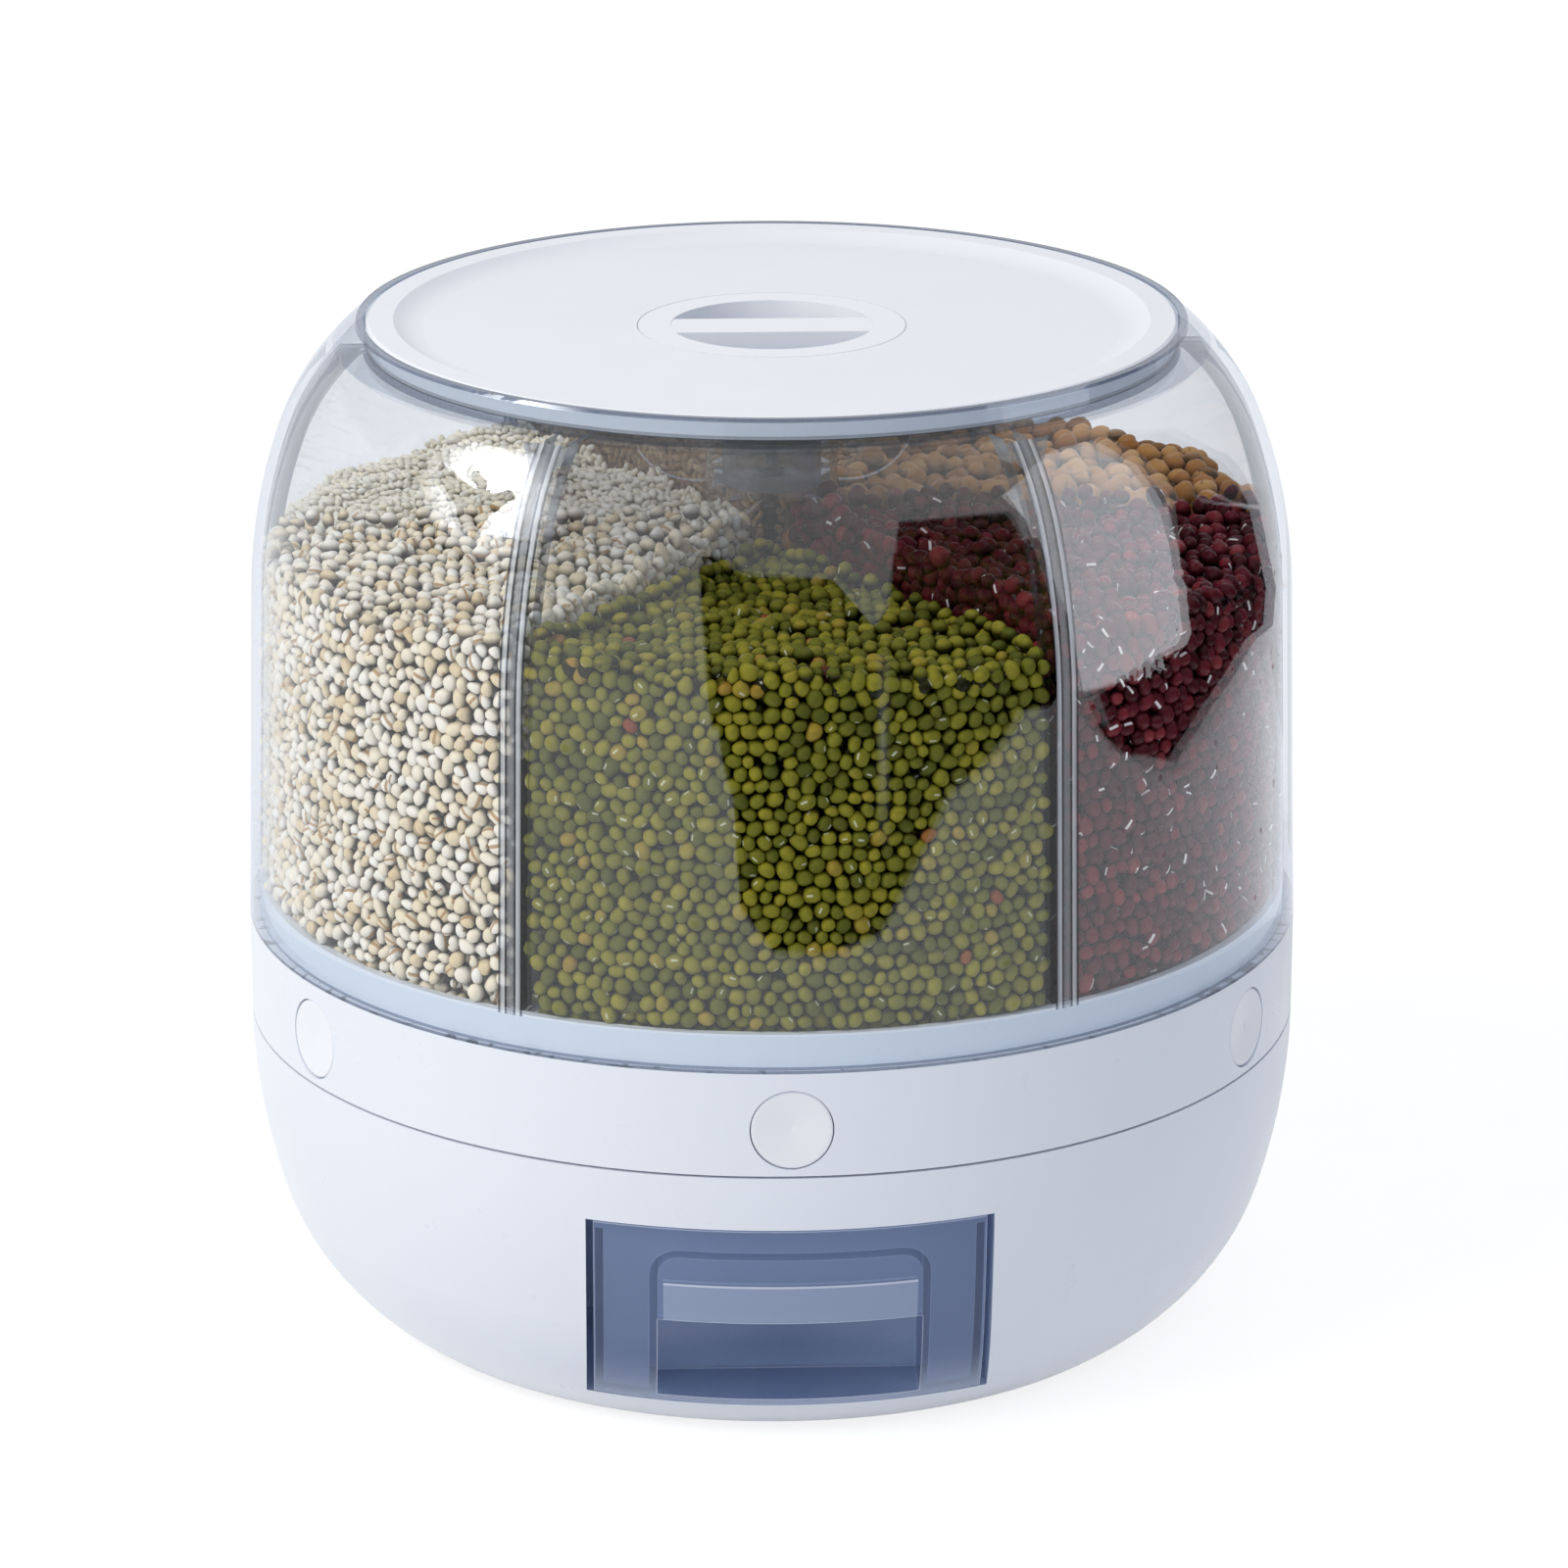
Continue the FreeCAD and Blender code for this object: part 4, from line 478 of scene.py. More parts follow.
def grey_plastic():
    """The matt plastic of sliding and turning pieces."""
    material, n = new_material("grey_slide_plastic")
    n.finish(n.principled(
        Base_Color=n.mix(n.cloud(30.0), (0.40, 0.42, 0.45), (0.46, 0.48, 0.51)), Roughness=0.45,
        Normal=n.bump(n.noise(2200.0), 0.15, 0.00004),
    ))
    return material


def steel():
    """Zinc-plated steel."""
    material, n = new_material("zinc_plated_steel")
    brushed = n.noise(900.0, 4.0)
    n.finish(n.principled(
        Base_Color=n.mix(n.span(brushed, 0.3, 0.7, 0.0, 1.0), (0.52, 0.53, 0.55), (0.66, 0.67, 0.69)),
        Metallic=1.0, Roughness=n.span(brushed, 0.3, 0.7, 0.22, 0.38), Normal=n.bump(brushed, 0.1, 0.00003),
    ))
    return material


def rubber():
    """Soft pale rubber."""
    material, n = new_material("pale_grey_rubber")
    speck = n.noise(1200.0, 4.0)
    n.finish(n.principled(
        Base_Color=n.mix(n.span(speck, 0.3, 0.7, 0.0, 1.0), (0.42, 0.44, 0.47), (0.50, 0.52, 0.55)),
        Roughness=0.75, Normal=n.bump(speck, 0.3, 0.00008),
    ))
    return material


def dress_solids():
    """Gives each CAD node its material."""
    dress(["base_shell", "bottom_plate", "base_deck", "chute", "tray_bay", "band_ring", "carousel_floor",
           "gate_cover"], white_plastic("white_gloss_plastic", WHITE, 0.30))
    dress(["lid_panel"], lid_plastic())
    dress(["lid_knob"], knob_plastic())
    dress(numbered("button"), white_plastic("white_button_plastic", WHITE_LID, 0.36))
    dress(["clear_shell"], drum_plastic())
    dress(["centre_column"] + numbered("divider_vane"), inner_plastic())
    dress(["tray"], blue_plastic())
    dress(["hub_bush", "roller_cage", "bearing_rollers"] + numbered("gate"), grey_plastic())
    dress(["knob_stem"], smoky_plastic())
    dress(["base_screws", "cover_screws", "spindle", "spindle_washer", "spindle_nut", "knob_screw",
           "stem_clip"] + numbered("gate_spring"), steel())
    dress(["rubber_feet", "lid_seal"], rubber())


# The drum's wall, read from the frame


READ_LOW = 0.001
READ_HIGH = 0.004
READ_STEPS = 120
BETWEEN_RIBS = math.radians(-75.0)
MEET_BEFORE = 0.30
MEET_AFTER = 0.15
MEET_STEPS = 1800
SLOPE_RISE = 0.006


class Wall:
    """How far out the drum's clear wall is at a height, on its inside and its outside."""

    def __init__(self):
        self.heights = np.linspace(SHELL_LOW[2] + READ_LOW, SHELL_HIGH[2] - READ_HIGH, READ_STEPS)
        out = Vector((math.cos(BETWEEN_RIBS), math.sin(BETWEEN_RIBS), 0.0))
        self.inside = self.read(out, 0.0, 1.0)
        self.outside = self.read(out, 1.0, -1.0)

    def read(self, out, start, way):
        radii = []
        for height in self.heights:
            place = NODES["clear_shell"].ray_cast(out * start + Vector((0.0, 0.0, height)), out * way)[1]
            radii.append(math.hypot(place.x, place.y))
        return np.array(radii)

    def inner(self, height):
        return np.interp(height, self.heights, self.inside)

    def outer(self, height):
        return np.interp(height, self.heights, self.outside)

    def met_by(self, start, direction):
        """The first point of the outside along a ray, and the wall's normal there."""
        steps = np.linspace(CAMERA_DISTANCE - MEET_BEFORE, CAMERA_DISTANCE + MEET_AFTER, MEET_STEPS)
        line = start + steps[:, None] * direction
        place = line[np.argmax(np.hypot(line[:, 0], line[:, 1]) < self.outer(line[:, 2]))]
        slope = (self.outer(place[2] + SLOPE_RISE) - self.outer(place[2] - SLOPE_RISE)) / (2 * SLOPE_RISE)
        normal = np.array([place[0], place[1], -slope * math.hypot(place[0], place[1])])
        return place, normal / np.linalg.norm(normal)


# Grain

SECTION_HALF = math.radians(30.0)
# Painted shade: the second layers count as this far back, so they are painted darker
BEHIND = 0.75
VANE_HALF = 0.0013
COLUMN_RADIUS = 0.0125
DRUM_RADIUS = 0.144
RIM_INSIDE = 0.1442
FLOOR_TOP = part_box("carousel_floor")[1][2]
FLOOR_SINK = 0.0015
RIM_HEIGHT = 0.004
OVER_RIM = 0.02
SHAKE = 0.9
SIZE_LEAST = 0.82
SIZE_SPREAD = 0.36
PUSH_ROUNDS = 50
PUSH_SHARE = 0.3
SPACING = 0.9
WALL_LOOSE = 0.25
WALL_BACK = 0.72
HEAP_BACK = 0.7
HEAP_LOOSE = 0.55
HEAP_SINK = 0.6
HEAP_LEAN = 3.0
VANE_LOOSE = 0.3
VANE_DEPTH = 0.024
SIZE_CHANGE = 0.12
COVERED = 0.5
CORE_DEPTH = 1.25
CORE_START = 0.022
CORE_REACH = 0.1425
CORE_SINK = 0.001
CORE_RINGS = 8
CORE_SPOKES = 14
CORE_LEVELS = 10
ROW_STEP = math.sqrt(3) / 2
NEIGHBOURS = [(0, 1), (0, 2)] + [(down, side) for down in (1, 2) for side in range(-2, 3)]


def seed_ball(cuts):
    """A cube's faces cut into squares and blown up to a unit ball: corners and quads."""
    corners, quads, index = [], [], {}

    def corner(point):
        key = tuple(round(c, 6) for c in point)
        if key not in index:
            index[key] = len(corners)
            corners.append(point)
        return index[key]

    steps = [math.tan(math.radians(-45 + 90 * i / cuts)) for i in range(cuts + 1)]
    for axis in range(3):
        for side in (-1.0, 1.0):
            for i in range(cuts):
                for j in range(cuts):
                    quad = []
                    for u, v in ((i, j), (i + 1, j), (i + 1, j + 1), (i, j + 1)):
                        point = [0.0, 0.0, 0.0]
                        point[axis] = side
                        point[(axis + 1) % 3] = steps[u]
                        point[(axis + 2) % 3] = steps[v]
                        quad.append(corner(tuple(point)))
                    quads.append(quad if side > 0 else quad[::-1])
    points = np.array(corners)
    points /= np.linalg.norm(points, axis=1)[:, None]
    return points, np.array(quads)


def barrel(points, blunt):
    """Blunts the ends of a seed."""
    shaped = points.copy()
    shaped[:, 0] *= 1.0 - blunt * (points[:, 0] ** 2 - 0.4)
    return shaped


def furrowed(points, depth, width):
    """Presses a furrow along the seed's upper side."""
    shaped = points.copy()
    shaped[:, 2] -= depth * np.exp(-(points[:, 1] / width) ** 2) * np.clip(points[:, 2], 0.0, 1.0)
    return shaped


def uneven(rng, ball, count, amount):
    """Small lumps and hollows that make every seed a little different."""
    x, y, z = ball.T
    waves = [x * y, y * z, z * x, x * x - y * y, z ** 3, 3 * x * y * z, np.sin(3 * x + 2 * y)]
    waves = np.stack(waves, axis=1)
    strengths = rng.normal(size=(count, waves.shape[1])) * amount
    return 1.0 + strengths @ waves.T


def settled_sheet(rng, wide, high, pitch):
    """Seeds on a flat sheet: a six-sided grid, shaken, then pushed apart until the seeds barely touch."""
    across, up = int(wide / pitch) + 3, int(high / (pitch * ROW_STEP)) + 3
    rows, columns = np.mgrid[0:up, 0:across]
    places = np.stack([(columns + 0.5 * (rows % 2) - 1) * pitch, (rows - 1) * pitch * ROW_STEP], axis=-1)
    places = places + (rng.random(places.shape) - 0.5) * pitch * SHAKE
    reach = pitch * 0.5 * (SIZE_LEAST + SIZE_SPREAD * rng.random((up, across)))
    for _ in range(PUSH_ROUNDS):
        push = np.zeros_like(places)
        for down, side in NEIGHBOURS:
            here = (slice(0, up - down), slice(max(0, -side), across - max(0, side)))
            there = (slice(down, up), slice(max(0, side), across - max(0, -side)))
            apart = places[there] - places[here]
            distance = np.maximum(np.linalg.norm(apart, axis=-1), 1e-6)
            overlap = np.maximum(reach[there] + reach[here] - distance, 0.0) / distance * PUSH_SHARE
            push[here] -= apart * overlap[..., None]
            push[there] += apart * overlap[..., None]
        places += push
    return places.reshape(-1, 2), reach.reshape(-1)


def fill_height(grain, r, t):
    """The heap's surface at a radius and across the section, with soft lumps."""
    out = r / DRUM_RADIUS
    level = grain["level"] + (grain["rim"] - grain["level"]) * out ** 2
    corners = (grain["corner"] + grain["tilt"] * t) * out * t * t
    phase = grain["seed"] * 1.7
    lumps = np.sin(r * 150.0 + t * 2.0 + phase) + np.cos(t * 5.0 - r * 60.0 + phase)
    lumps = lumps + np.sin(r * 320.0 - t * 9.0)
    return level + corners + grain["lumps"] * lumps


def turned(vectors, angle):
    """Vectors turned about the drum's axis."""
    turn = np.array([[math.cos(angle), -math.sin(angle), 0.0], [math.sin(angle), math.cos(angle), 0.0],
                     [0.0, 0.0, 1.0]])
    return vectors @ turn.T


def wall_layer(grain, wall, rng, layer):
    """Seeds against the curved wall: places, normals and sizes."""
    pitch = grain["pitch"]
    floor_z = FLOOR_TOP - FLOOR_SINK
    wide = 2 * SECTION_HALF * DRUM_RADIUS
    sheet, reach = settled_sheet(rng, wide, grain["rim"] + OVER_RIM - floor_z, pitch)
    angle = (sheet[:, 0] / wide * 2 - 1) * SECTION_HALF
    height = floor_z + reach * 0.5 + sheet[:, 1]
    depth = reach * grain["flat"] + (rng.random(len(sheet)) * WALL_LOOSE + layer * WALL_BACK) * pitch
    at_rim = np.where(height < floor_z + RIM_HEIGHT, RIM_INSIDE - depth, 1.0)
    out = np.minimum(wall.inner(height) - depth, at_rim)
    keep = height < fill_height(grain, out, angle / SECTION_HALF) + reach * 0.2
    keep &= out * np.sin(SECTION_HALF - np.abs(angle)) > VANE_HALF + reach * SPACING
    spots = np.stack([out * np.cos(angle), out * np.sin(angle), height], 1)
    normals = np.stack([np.cos(angle), np.sin(angle), np.zeros_like(angle)], 1)
    return spots[keep], normals[keep], reach[keep]


def heap_layer(grain, wall, rng, layer):
    """Seeds on the heap's surface."""
    pitch = grain["pitch"]
    half = DRUM_RADIUS * math.sin(SECTION_HALF) + pitch
    sheet, reach = settled_sheet(rng, DRUM_RADIUS, 2 * half, pitch)
    x, y = sheet[:, 0], sheet[:, 1] - half
    r = np.hypot(x, y)
    angle = np.arctan2(y, x)
    height = fill_height(grain, r, angle / SECTION_HALF) - layer * pitch * HEAP_BACK
    height += (rng.random(len(sheet)) - HEAP_SINK) * pitch * HEAP_LOOSE
    keep = (np.abs(angle) < SECTION_HALF) & (r > COLUMN_RADIUS + reach)
    keep &= r < wall.inner(height) - reach
    keep &= r * np.sin(SECTION_HALF - np.abs(angle)) > VANE_HALF + reach * SPACING
    spots = np.stack([x, y, height], 1)
    normals = np.tile([0.0, 0.0, 1.0], (len(sheet), 1))
    return spots[keep], normals[keep], reach[keep]


def vane_layer(grain, wall, rng, side):
    """Seeds against a vane, where the neighbouring heap may be lower."""
    sheet, reach = settled_sheet(rng, DRUM_RADIUS - COLUMN_RADIUS, VANE_DEPTH, grain["pitch"])
    r = sheet[:, 0] + COLUMN_RADIUS + reach
    offset = VANE_HALF + reach * (grain["flat"] + VANE_LOOSE * rng.random(len(sheet)))
    angle = side * (SECTION_HALF - np.arcsin(np.clip(offset / r, 0.0, 0.9)))
    height = fill_height(grain, r, angle / SECTION_HALF) - reach - sheet[:, 1]
    keep = r < wall.inner(height) - reach * 2
    spots = np.stack([r * np.cos(angle), r * np.sin(angle), height], 1)
    across = side * (SECTION_HALF + math.pi / 2)
    normals = np.tile([math.cos(across), math.sin(across), 0.0], (len(sheet), 1))
    return spots[keep], normals[keep], reach[keep]


def seed_turns(rng, normals, tilt):
    """A turn for every seed: lying along its surface, pointing anywhere, rolled about its own length."""
    count = len(normals)
    helper = np.where(np.abs(normals[:, 2:]) > 0.9, [[1.0, 0.0, 0.0]], [[0.0, 0.0, 1.0]])
    side = np.cross(helper, normals)
    side /= np.linalg.norm(side, axis=1)[:, None]
    up = np.cross(normals, side)
    heading = rng.random(count) * 2 * math.pi
    lean = rng.normal(size=count) * tilt
    flat = np.cos(heading)[:, None] * side + np.sin(heading)[:, None] * up
    along = np.cos(lean)[:, None] * flat + np.sin(lean)[:, None] * normals
    cross = np.cross(normals, along)
    cross /= np.linalg.norm(cross, axis=1)[:, None]
    third = np.cross(along, cross)
    roll = rng.random(count) * 2 * math.pi
    second = np.cos(roll)[:, None] * cross + np.sin(roll)[:, None] * third
    return np.stack([along, second, np.cross(along, second)], axis=2)


def open_above(grain, spots, lying):
    """How far up on its seed a corner is, less the seed's depth under the heap's surface."""
    r = np.hypot(spots[:, 0], spots[:, 1])
    t = np.arctan2(spots[:, 1], spots[:, 0]) / SECTION_HALF
    return lying[:, :, 2] - np.maximum(fill_height(grain, r, t) - spots[:, 2], 0.0)[:, None] * COVERED


def seed_mesh(name, corners, quads, local, tone, front):
    """One mesh of many seeds, with each corner's place on its seed, its tone and how far in front it is, which
    sets its painted shade.
    """
    count, size = corners.shape[:2]
    faces = (quads[None] + (np.arange(count) * size)[:, None, None]).reshape(-1, 4)
    mesh = bpy.data.meshes.new(name)
    mesh.vertices.add(count * size)
    mesh.vertices.foreach_set("co", corners.astype(np.float32).ravel())
    mesh.loops.add(faces.size)
    mesh.loops.foreach_set("vertex_index", faces.astype(np.int32).ravel())
    mesh.polygons.add(len(faces))
    mesh.polygons.foreach_set("loop_start", np.arange(0, faces.size, 4, dtype=np.int32))
    mesh.update(calc_edges=True)
    mesh.validate()
    mesh.polygons.foreach_set("use_smooth", np.ones(len(faces), dtype=bool))
    where = mesh.attributes.new("seed", "FLOAT_VECTOR", "POINT")
    where.data.foreach_set("vector", np.tile(local, (count, 1)).astype(np.float32).ravel())
    shade = mesh.attributes.new("tone", "FLOAT", "POINT")
    shade.data.foreach_set("value", np.repeat(tone, size).astype(np.float32))
    shown = mesh.attributes.new("front", "FLOAT", "POINT")
    shown.data.foreach_set("value", front.astype(np.float32).ravel())
    return mesh


def shade_core_mesh(name, grain, wall):
    """A sheet of painted shade inside a heap, behind its outer seeds."""
    deep = grain["pitch"] * CORE_DEPTH
    middle = math.radians(grain["angle"])
    outer_end = CORE_REACH - deep
    floor_z = FLOOR_TOP - CORE_SINK
    points, faces = [], []

    def point(r, t, height):
        angle = middle + t * SECTION_HALF
        points.append((r * math.cos(angle), r * math.sin(angle), height))
        return len(points) - 1

    def across(r, j):
        """Where spoke j crosses the section at a radius, clear of the vanes."""
        return max(1.0 - (VANE_HALF + deep) / (r * SECTION_HALF), 0.05) * (2 * j / CORE_SPOKES - 1)

    top = []
    for i in range(CORE_RINGS + 1):
        r = CORE_START + (outer_end - CORE_START) * i / CORE_RINGS
        row = []
        for j in range(CORE_SPOKES + 1):
            t = across(r, j)
            height = float(fill_height(grain, np.array(r), np.array(t))) - deep
            row.append(point(min(r, float(wall.inner(height)) - deep), t, height))
        top.append(row)
    skirt = [top[CORE_RINGS]]
    for k in range(1, CORE_LEVELS + 1):
        row = []
        for j in range(CORE_SPOKES + 1):
            start = points[top[CORE_RINGS][j]][2]
            height = start + (floor_z - start) * k / CORE_LEVELS
            out = min(float(wall.inner(height)) - deep, outer_end)
            row.append(point(out, across(outer_end, j), height))
        skirt.append(row)
    for rows in (top, skirt):
        for upper, lower in zip(rows, rows[1:]):
            for j in range(CORE_SPOKES):
                faces.append((upper[j], lower[j], lower[j + 1], upper[j + 1]))
    for j in (0, CORE_SPOKES):
        foot = []
        for i in range(CORE_RINGS + 1):
            r = CORE_START + (outer_end - CORE_START) * i / CORE_RINGS
            foot.append(point(r, across(r, j), floor_z))
        for i in range(CORE_RINGS):
            faces.append((top[i][j], foot[i], foot[i + 1], top[i + 1][j]))
    mesh = bpy.data.meshes.new(name)
    mesh.from_pydata(points, [], faces)
    mesh.update()
    return mesh


def seed_material(name, grain):
    """A seed's skin: its own tone from a range, a mark where it grew, a fine texture, and painted shade on
    seeds and sides further back.
    """
    material, n = new_material(name)
    tone = n.add("ShaderNodeAttribute", attribute_name="tone").outputs["Fac"]
    local = n.add("ShaderNodeAttribute", attribute_name="seed").outputs["Vector"]
    mottle = n.cloud(grain["mottle"])
    front = n.add("ShaderNodeAttribute", attribute_name="front").outputs["Fac"]
    # Painted shade: the further back from the heap's face, the nearer the colour goes to the shade colour
    deep = n.span(front, -0.15, 0.62, grain["gap"], 0.0)
    color = n.mix(n.times(mottle, 0.35), n.ramp(tone, grain["tones"]), grain["shade"])
    color = n.mix(deep, color, grain["core"])
    parts = n.add("ShaderNodeSeparateXYZ")
    n.link(local, parts.inputs["Vector"])
    thin = n.below(n.math("ABSOLUTE", parts.outputs["Y"]), grain["mark_width"])
    short = n.below(n.math("ABSOLUTE", parts.outputs["X"]), grain["mark_length"])
    upper = n.above(parts.outputs["Z"], 0.0)
    some = n.below(n.math("FRACT", n.times(tone, 17.0)), grain["marked"])
    mark = n.times(n.times(thin, short), n.times(upper, some))
    n.finish(n.principled(
        Base_Color=n.mix(n.times(mark, grain["mark_strength"]), color, grain["mark"]),
        Roughness=n.span(mottle, 0.0, 1.0, grain["gloss"], grain["gloss"] + 0.12),
        Normal=n.bump(n.noise(900.0, 2.0), 0.2, 0.0001), IOR=1.30,
    ))
    return material


def shade_core_material(name, color):
    """Painted shade for the gaps between seeds, with blotches."""
    material, n = new_material(name)
    blotch = n.span(n.noise(420.0), 0.4, 0.6, 0.0, 1.0)
    n.finish(n.principled(Base_Color=n.mix(blotch, tuple(c * 0.3 for c in color), color), Roughness=0.8))
    return material


GRAINS = {
    "mung_beans": dict(
        angle=-90, pitch=0.0044, level=0.2205, rim=0.2255, corner=0.00075, tilt=-0.00275, lumps=0.0007,
        seed=1,
        axes=(1.22, 0.96, 0.94), flat=0.94, cuts=3, lump=0.030, lean=0.30, shape=lambda p: barrel(p, 0.16),
        tones=[(0.0, (0.085, 0.095, 0.008)), (0.45, (0.185, 0.185, 0.014)), (0.92, (0.31, 0.275, 0.022)),
               (0.985, (0.36, 0.25, 0.032)), (1.0, (0.28, 0.050, 0.030))],
        shade=(0.065, 0.072, 0.009), mark=(0.70, 0.72, 0.60), mark_width=0.12, mark_length=0.28, marked=0.5,
        mark_strength=0.6, mottle=500.0, gloss=0.32, core=(0.004, 0.004, 0.001), gap=0.95),
    "coix_seeds": dict(
        angle=-150, pitch=0.0044, level=0.2285, rim=0.2265, corner=0.0010, tilt=0.0, lumps=0.0008, seed=2,
        axes=(1.16, 0.98, 0.82), flat=0.86, cuts=3, lump=0.095, lean=0.60,
        shape=lambda p: furrowed(p, 0.45, 0.26),
        tones=[(0.0, (0.72, 0.57, 0.35)), (0.25, (0.90, 0.81, 0.62)), (0.6, (0.95, 0.91, 0.82)),
               (1.0, (0.97, 0.96, 0.92))],
        shade=(0.82, 0.68, 0.47), mark=(0.42, 0.24, 0.09), mark_width=0.19, mark_length=0.95, marked=0.6,
        mark_strength=0.85, mottle=320.0, gloss=0.45, core=(0.040, 0.030, 0.020), gap=0.92),
    "adzuki_beans": dict(
        angle=-30, pitch=0.0050, level=0.2320, rim=0.2265, corner=0.0030, tilt=0.0010, lumps=0.0008, seed=3,
        axes=(1.24, 0.96, 0.94), flat=0.94, cuts=3, lump=0.030, lean=0.35, shape=lambda p: barrel(p, 0.10),
        tones=[(0.0, (0.050, 0.005, 0.009)), (0.5, (0.115, 0.011, 0.018)), (0.9, (0.21, 0.020, 0.030)),
               (1.0, (0.30, 0.045, 0.050))],
        shade=(0.045, 0.004, 0.008), mark=(0.90, 0.86, 0.84), mark_width=0.14, mark_length=0.42, marked=0.45,
        mark_strength=1.0, mottle=300.0, gloss=0.22, core=(0.004, 0.001, 0.001), gap=0.85),
    "white_rice": dict(
        angle=150, pitch=0.0025, level=0.2250, rim=0.2230, corner=0.0, tilt=0.0, lumps=0.0010, seed=4,
        axes=(1.50, 0.78, 0.70), flat=0.70, cuts=2, lump=0.020, lean=0.07, shape=lambda p: p,
        tones=[(0.0, (0.93, 0.86, 0.70)), (0.5, (0.96, 0.92, 0.80)), (1.0, (0.97, 0.96, 0.90))],
        shade=(0.90, 0.82, 0.64), mark=(0.90, 0.88, 0.80), mark_width=0.1, mark_length=0.2, marked=0.3,
        mark_strength=0.5, mottle=300.0, gloss=0.40, core=(0.60, 0.53, 0.40), gap=0.30),
    "soybeans": dict(
        angle=30, pitch=0.0068, level=0.2310, rim=0.2280, corner=0.0, tilt=0.0, lumps=0.0012, seed=5,
        axes=(1.12, 1.00, 0.94), flat=0.96, cuts=3, lump=0.060, lean=0.45, shape=lambda p: barrel(p, 0.08),
        tones=[(0.0, (0.46, 0.19, 0.045)), (0.5, (0.66, 0.32, 0.085)), (1.0, (0.82, 0.48, 0.18))],
        shade=(0.44, 0.20, 0.05), mark=(0.30, 0.15, 0.06), mark_width=0.10, mark_length=0.42, marked=0.6,
        mark_strength=0.7, mottle=220.0, gloss=0.36, core=(0.030, 0.015, 0.006), gap=0.90),
    "brown_rice": dict(
        angle=90, pitch=0.0028, level=0.2310, rim=0.2290, corner=0.0, tilt=0.0, lumps=0.0010, seed=6,
        axes=(1.60, 0.76, 0.70), flat=0.74, cuts=2, lump=0.020, lean=0.20, shape=lambda p: p,
        tones=[(0.0, (0.38, 0.23, 0.10)), (0.5, (0.56, 0.37, 0.19)), (1.0, (0.74, 0.56, 0.34))],
        shade=(0.36, 0.20, 0.08), mark=(0.62, 0.46, 0.28), mark_width=0.1, mark_length=0.3, marked=0.3,
        mark_strength=0.6, mottle=300.0, gloss=0.40, core=(0.10, 0.065, 0.035), gap=0.60),
}


def add_to_drum(name, mesh, material):
    """Puts a piece of the grain in the turning drum."""
    mesh.materials.append(material)
    piece = bpy.data.objects.new(name, mesh)
    bpy.context.scene.collection.objects.link(piece)
    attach(piece, "carousel")


def pour_grain(wall):
    """Fills the six sections, each with its own kind of seed, over a sheet of painted shade."""
    for name, grain in GRAINS.items():
        rng = np.random.default_rng(grain["seed"])
        skin = seed_material(name, grain)
        ball, quads = seed_ball(grain["cuts"])
        shape = grain["shape"](ball)
        layers = {f"wall_{i + 1}": wall_layer(grain, wall, rng, i) for i in range(2)}
        layers |= {f"heap_{i + 1}": heap_layer(grain, wall, rng, i) for i in range(2)}
        layers |= {f"vane_{i + 1}": vane_layer(grain, wall, rng, (-1.0, 1.0)[i]) for i in range(2)}
        for layer, (spots, normals, reach) in layers.items():
            count = len(spots)
            lean = grain["lean"] * (HEAP_LEAN if layer.startswith("heap") else 1.0)
            turns = seed_turns(rng, normals, lean)
            change = 1.0 + SIZE_CHANGE * (rng.random((count, 3)) - 0.5)
            sizes = reach[:, None] * np.array(grain["axes"])[None] * change
            bodies = shape[None] * sizes[:, None] * uneven(rng, ball, count, grain["lump"])[..., None]
            lying = np.einsum("kij,knj->kni", turns, bodies)
            front = np.maximum(np.einsum("kni,ki->kn", lying, normals), open_above(grain, spots, lying))
            front /= reach[:, None]
            corners = turned(lying + spots[:, None], math.radians(grain["angle"]))
            piece = f"{name}_{layer}"
            # Painted shade: the second layers are painted darker
            if layer in ("wall_2", "heap_2"):
                front -= BEHIND
            add_to_drum(piece, seed_mesh(piece, corners, quads, ball, rng.random(count), front), skin)
        core = f"{name}_core"
        add_to_drum(core, shade_core_mesh(core, grain, wall), shade_core_material(core, grain["core"]))


# Stage


def is_seen(n):
    """1 for what the camera, a mirror or clear plastic looks at."""
    path = n.add("ShaderNodeLightPath")
    shown = n.math("MAXIMUM", path.outputs["Is Camera Ray"], path.outputs["Is Glossy Ray"])
    return n.math("MAXIMUM", shown, path.outputs["Is Transmission Ray"])


WORLD_LIT = (0.887, 0.926, 1.0)
WORLD_STRENGTH = 0.63
FLOOR_HALF = 6.0
FLOOR_GLOW = 1.30
FLOOR_SHARE = 0.62
KEY_PLACE = (-1.5, -1.0, 1.7)
KEY_AIM = (0.0, 0.0, 0.15)
KEY_SIZE = 1.3
KEY_POWER = 27.5
KEY_COLOR = (1.0, 0.94, 0.82)


def light_world():
    """White where it is seen, and a softer bluish light on the object."""
    world = bpy.data.worlds.new("studio")
    bpy.context.scene.world = world
    world.use_nodes = True
    n = Nodes(world.node_tree)
    seen = n.add("ShaderNodeBackground")
    n.put(CLEAR, seen.inputs["Color"])
    lit = n.add("ShaderNodeBackground")
    n.put(WORLD_LIT, lit.inputs["Color"])
    lit.inputs["Strength"].default_value = WORLD_STRENGTH
    surface = n.blend(is_seen(n), lit.outputs["Background"], seen.outputs["Background"])
    n.link(surface, n.add("ShaderNodeOutputWorld").inputs["Surface"])


def flat_mesh(name, points, faces):
    """A piece of the stage made of flat faces."""
    mesh = bpy.data.meshes.new(name)
    mesh.from_pydata(points, [], faces)
    mesh.update()
    piece = bpy.data.objects.new(name, mesh)
    bpy.context.scene.collection.objects.link(piece)
    return piece


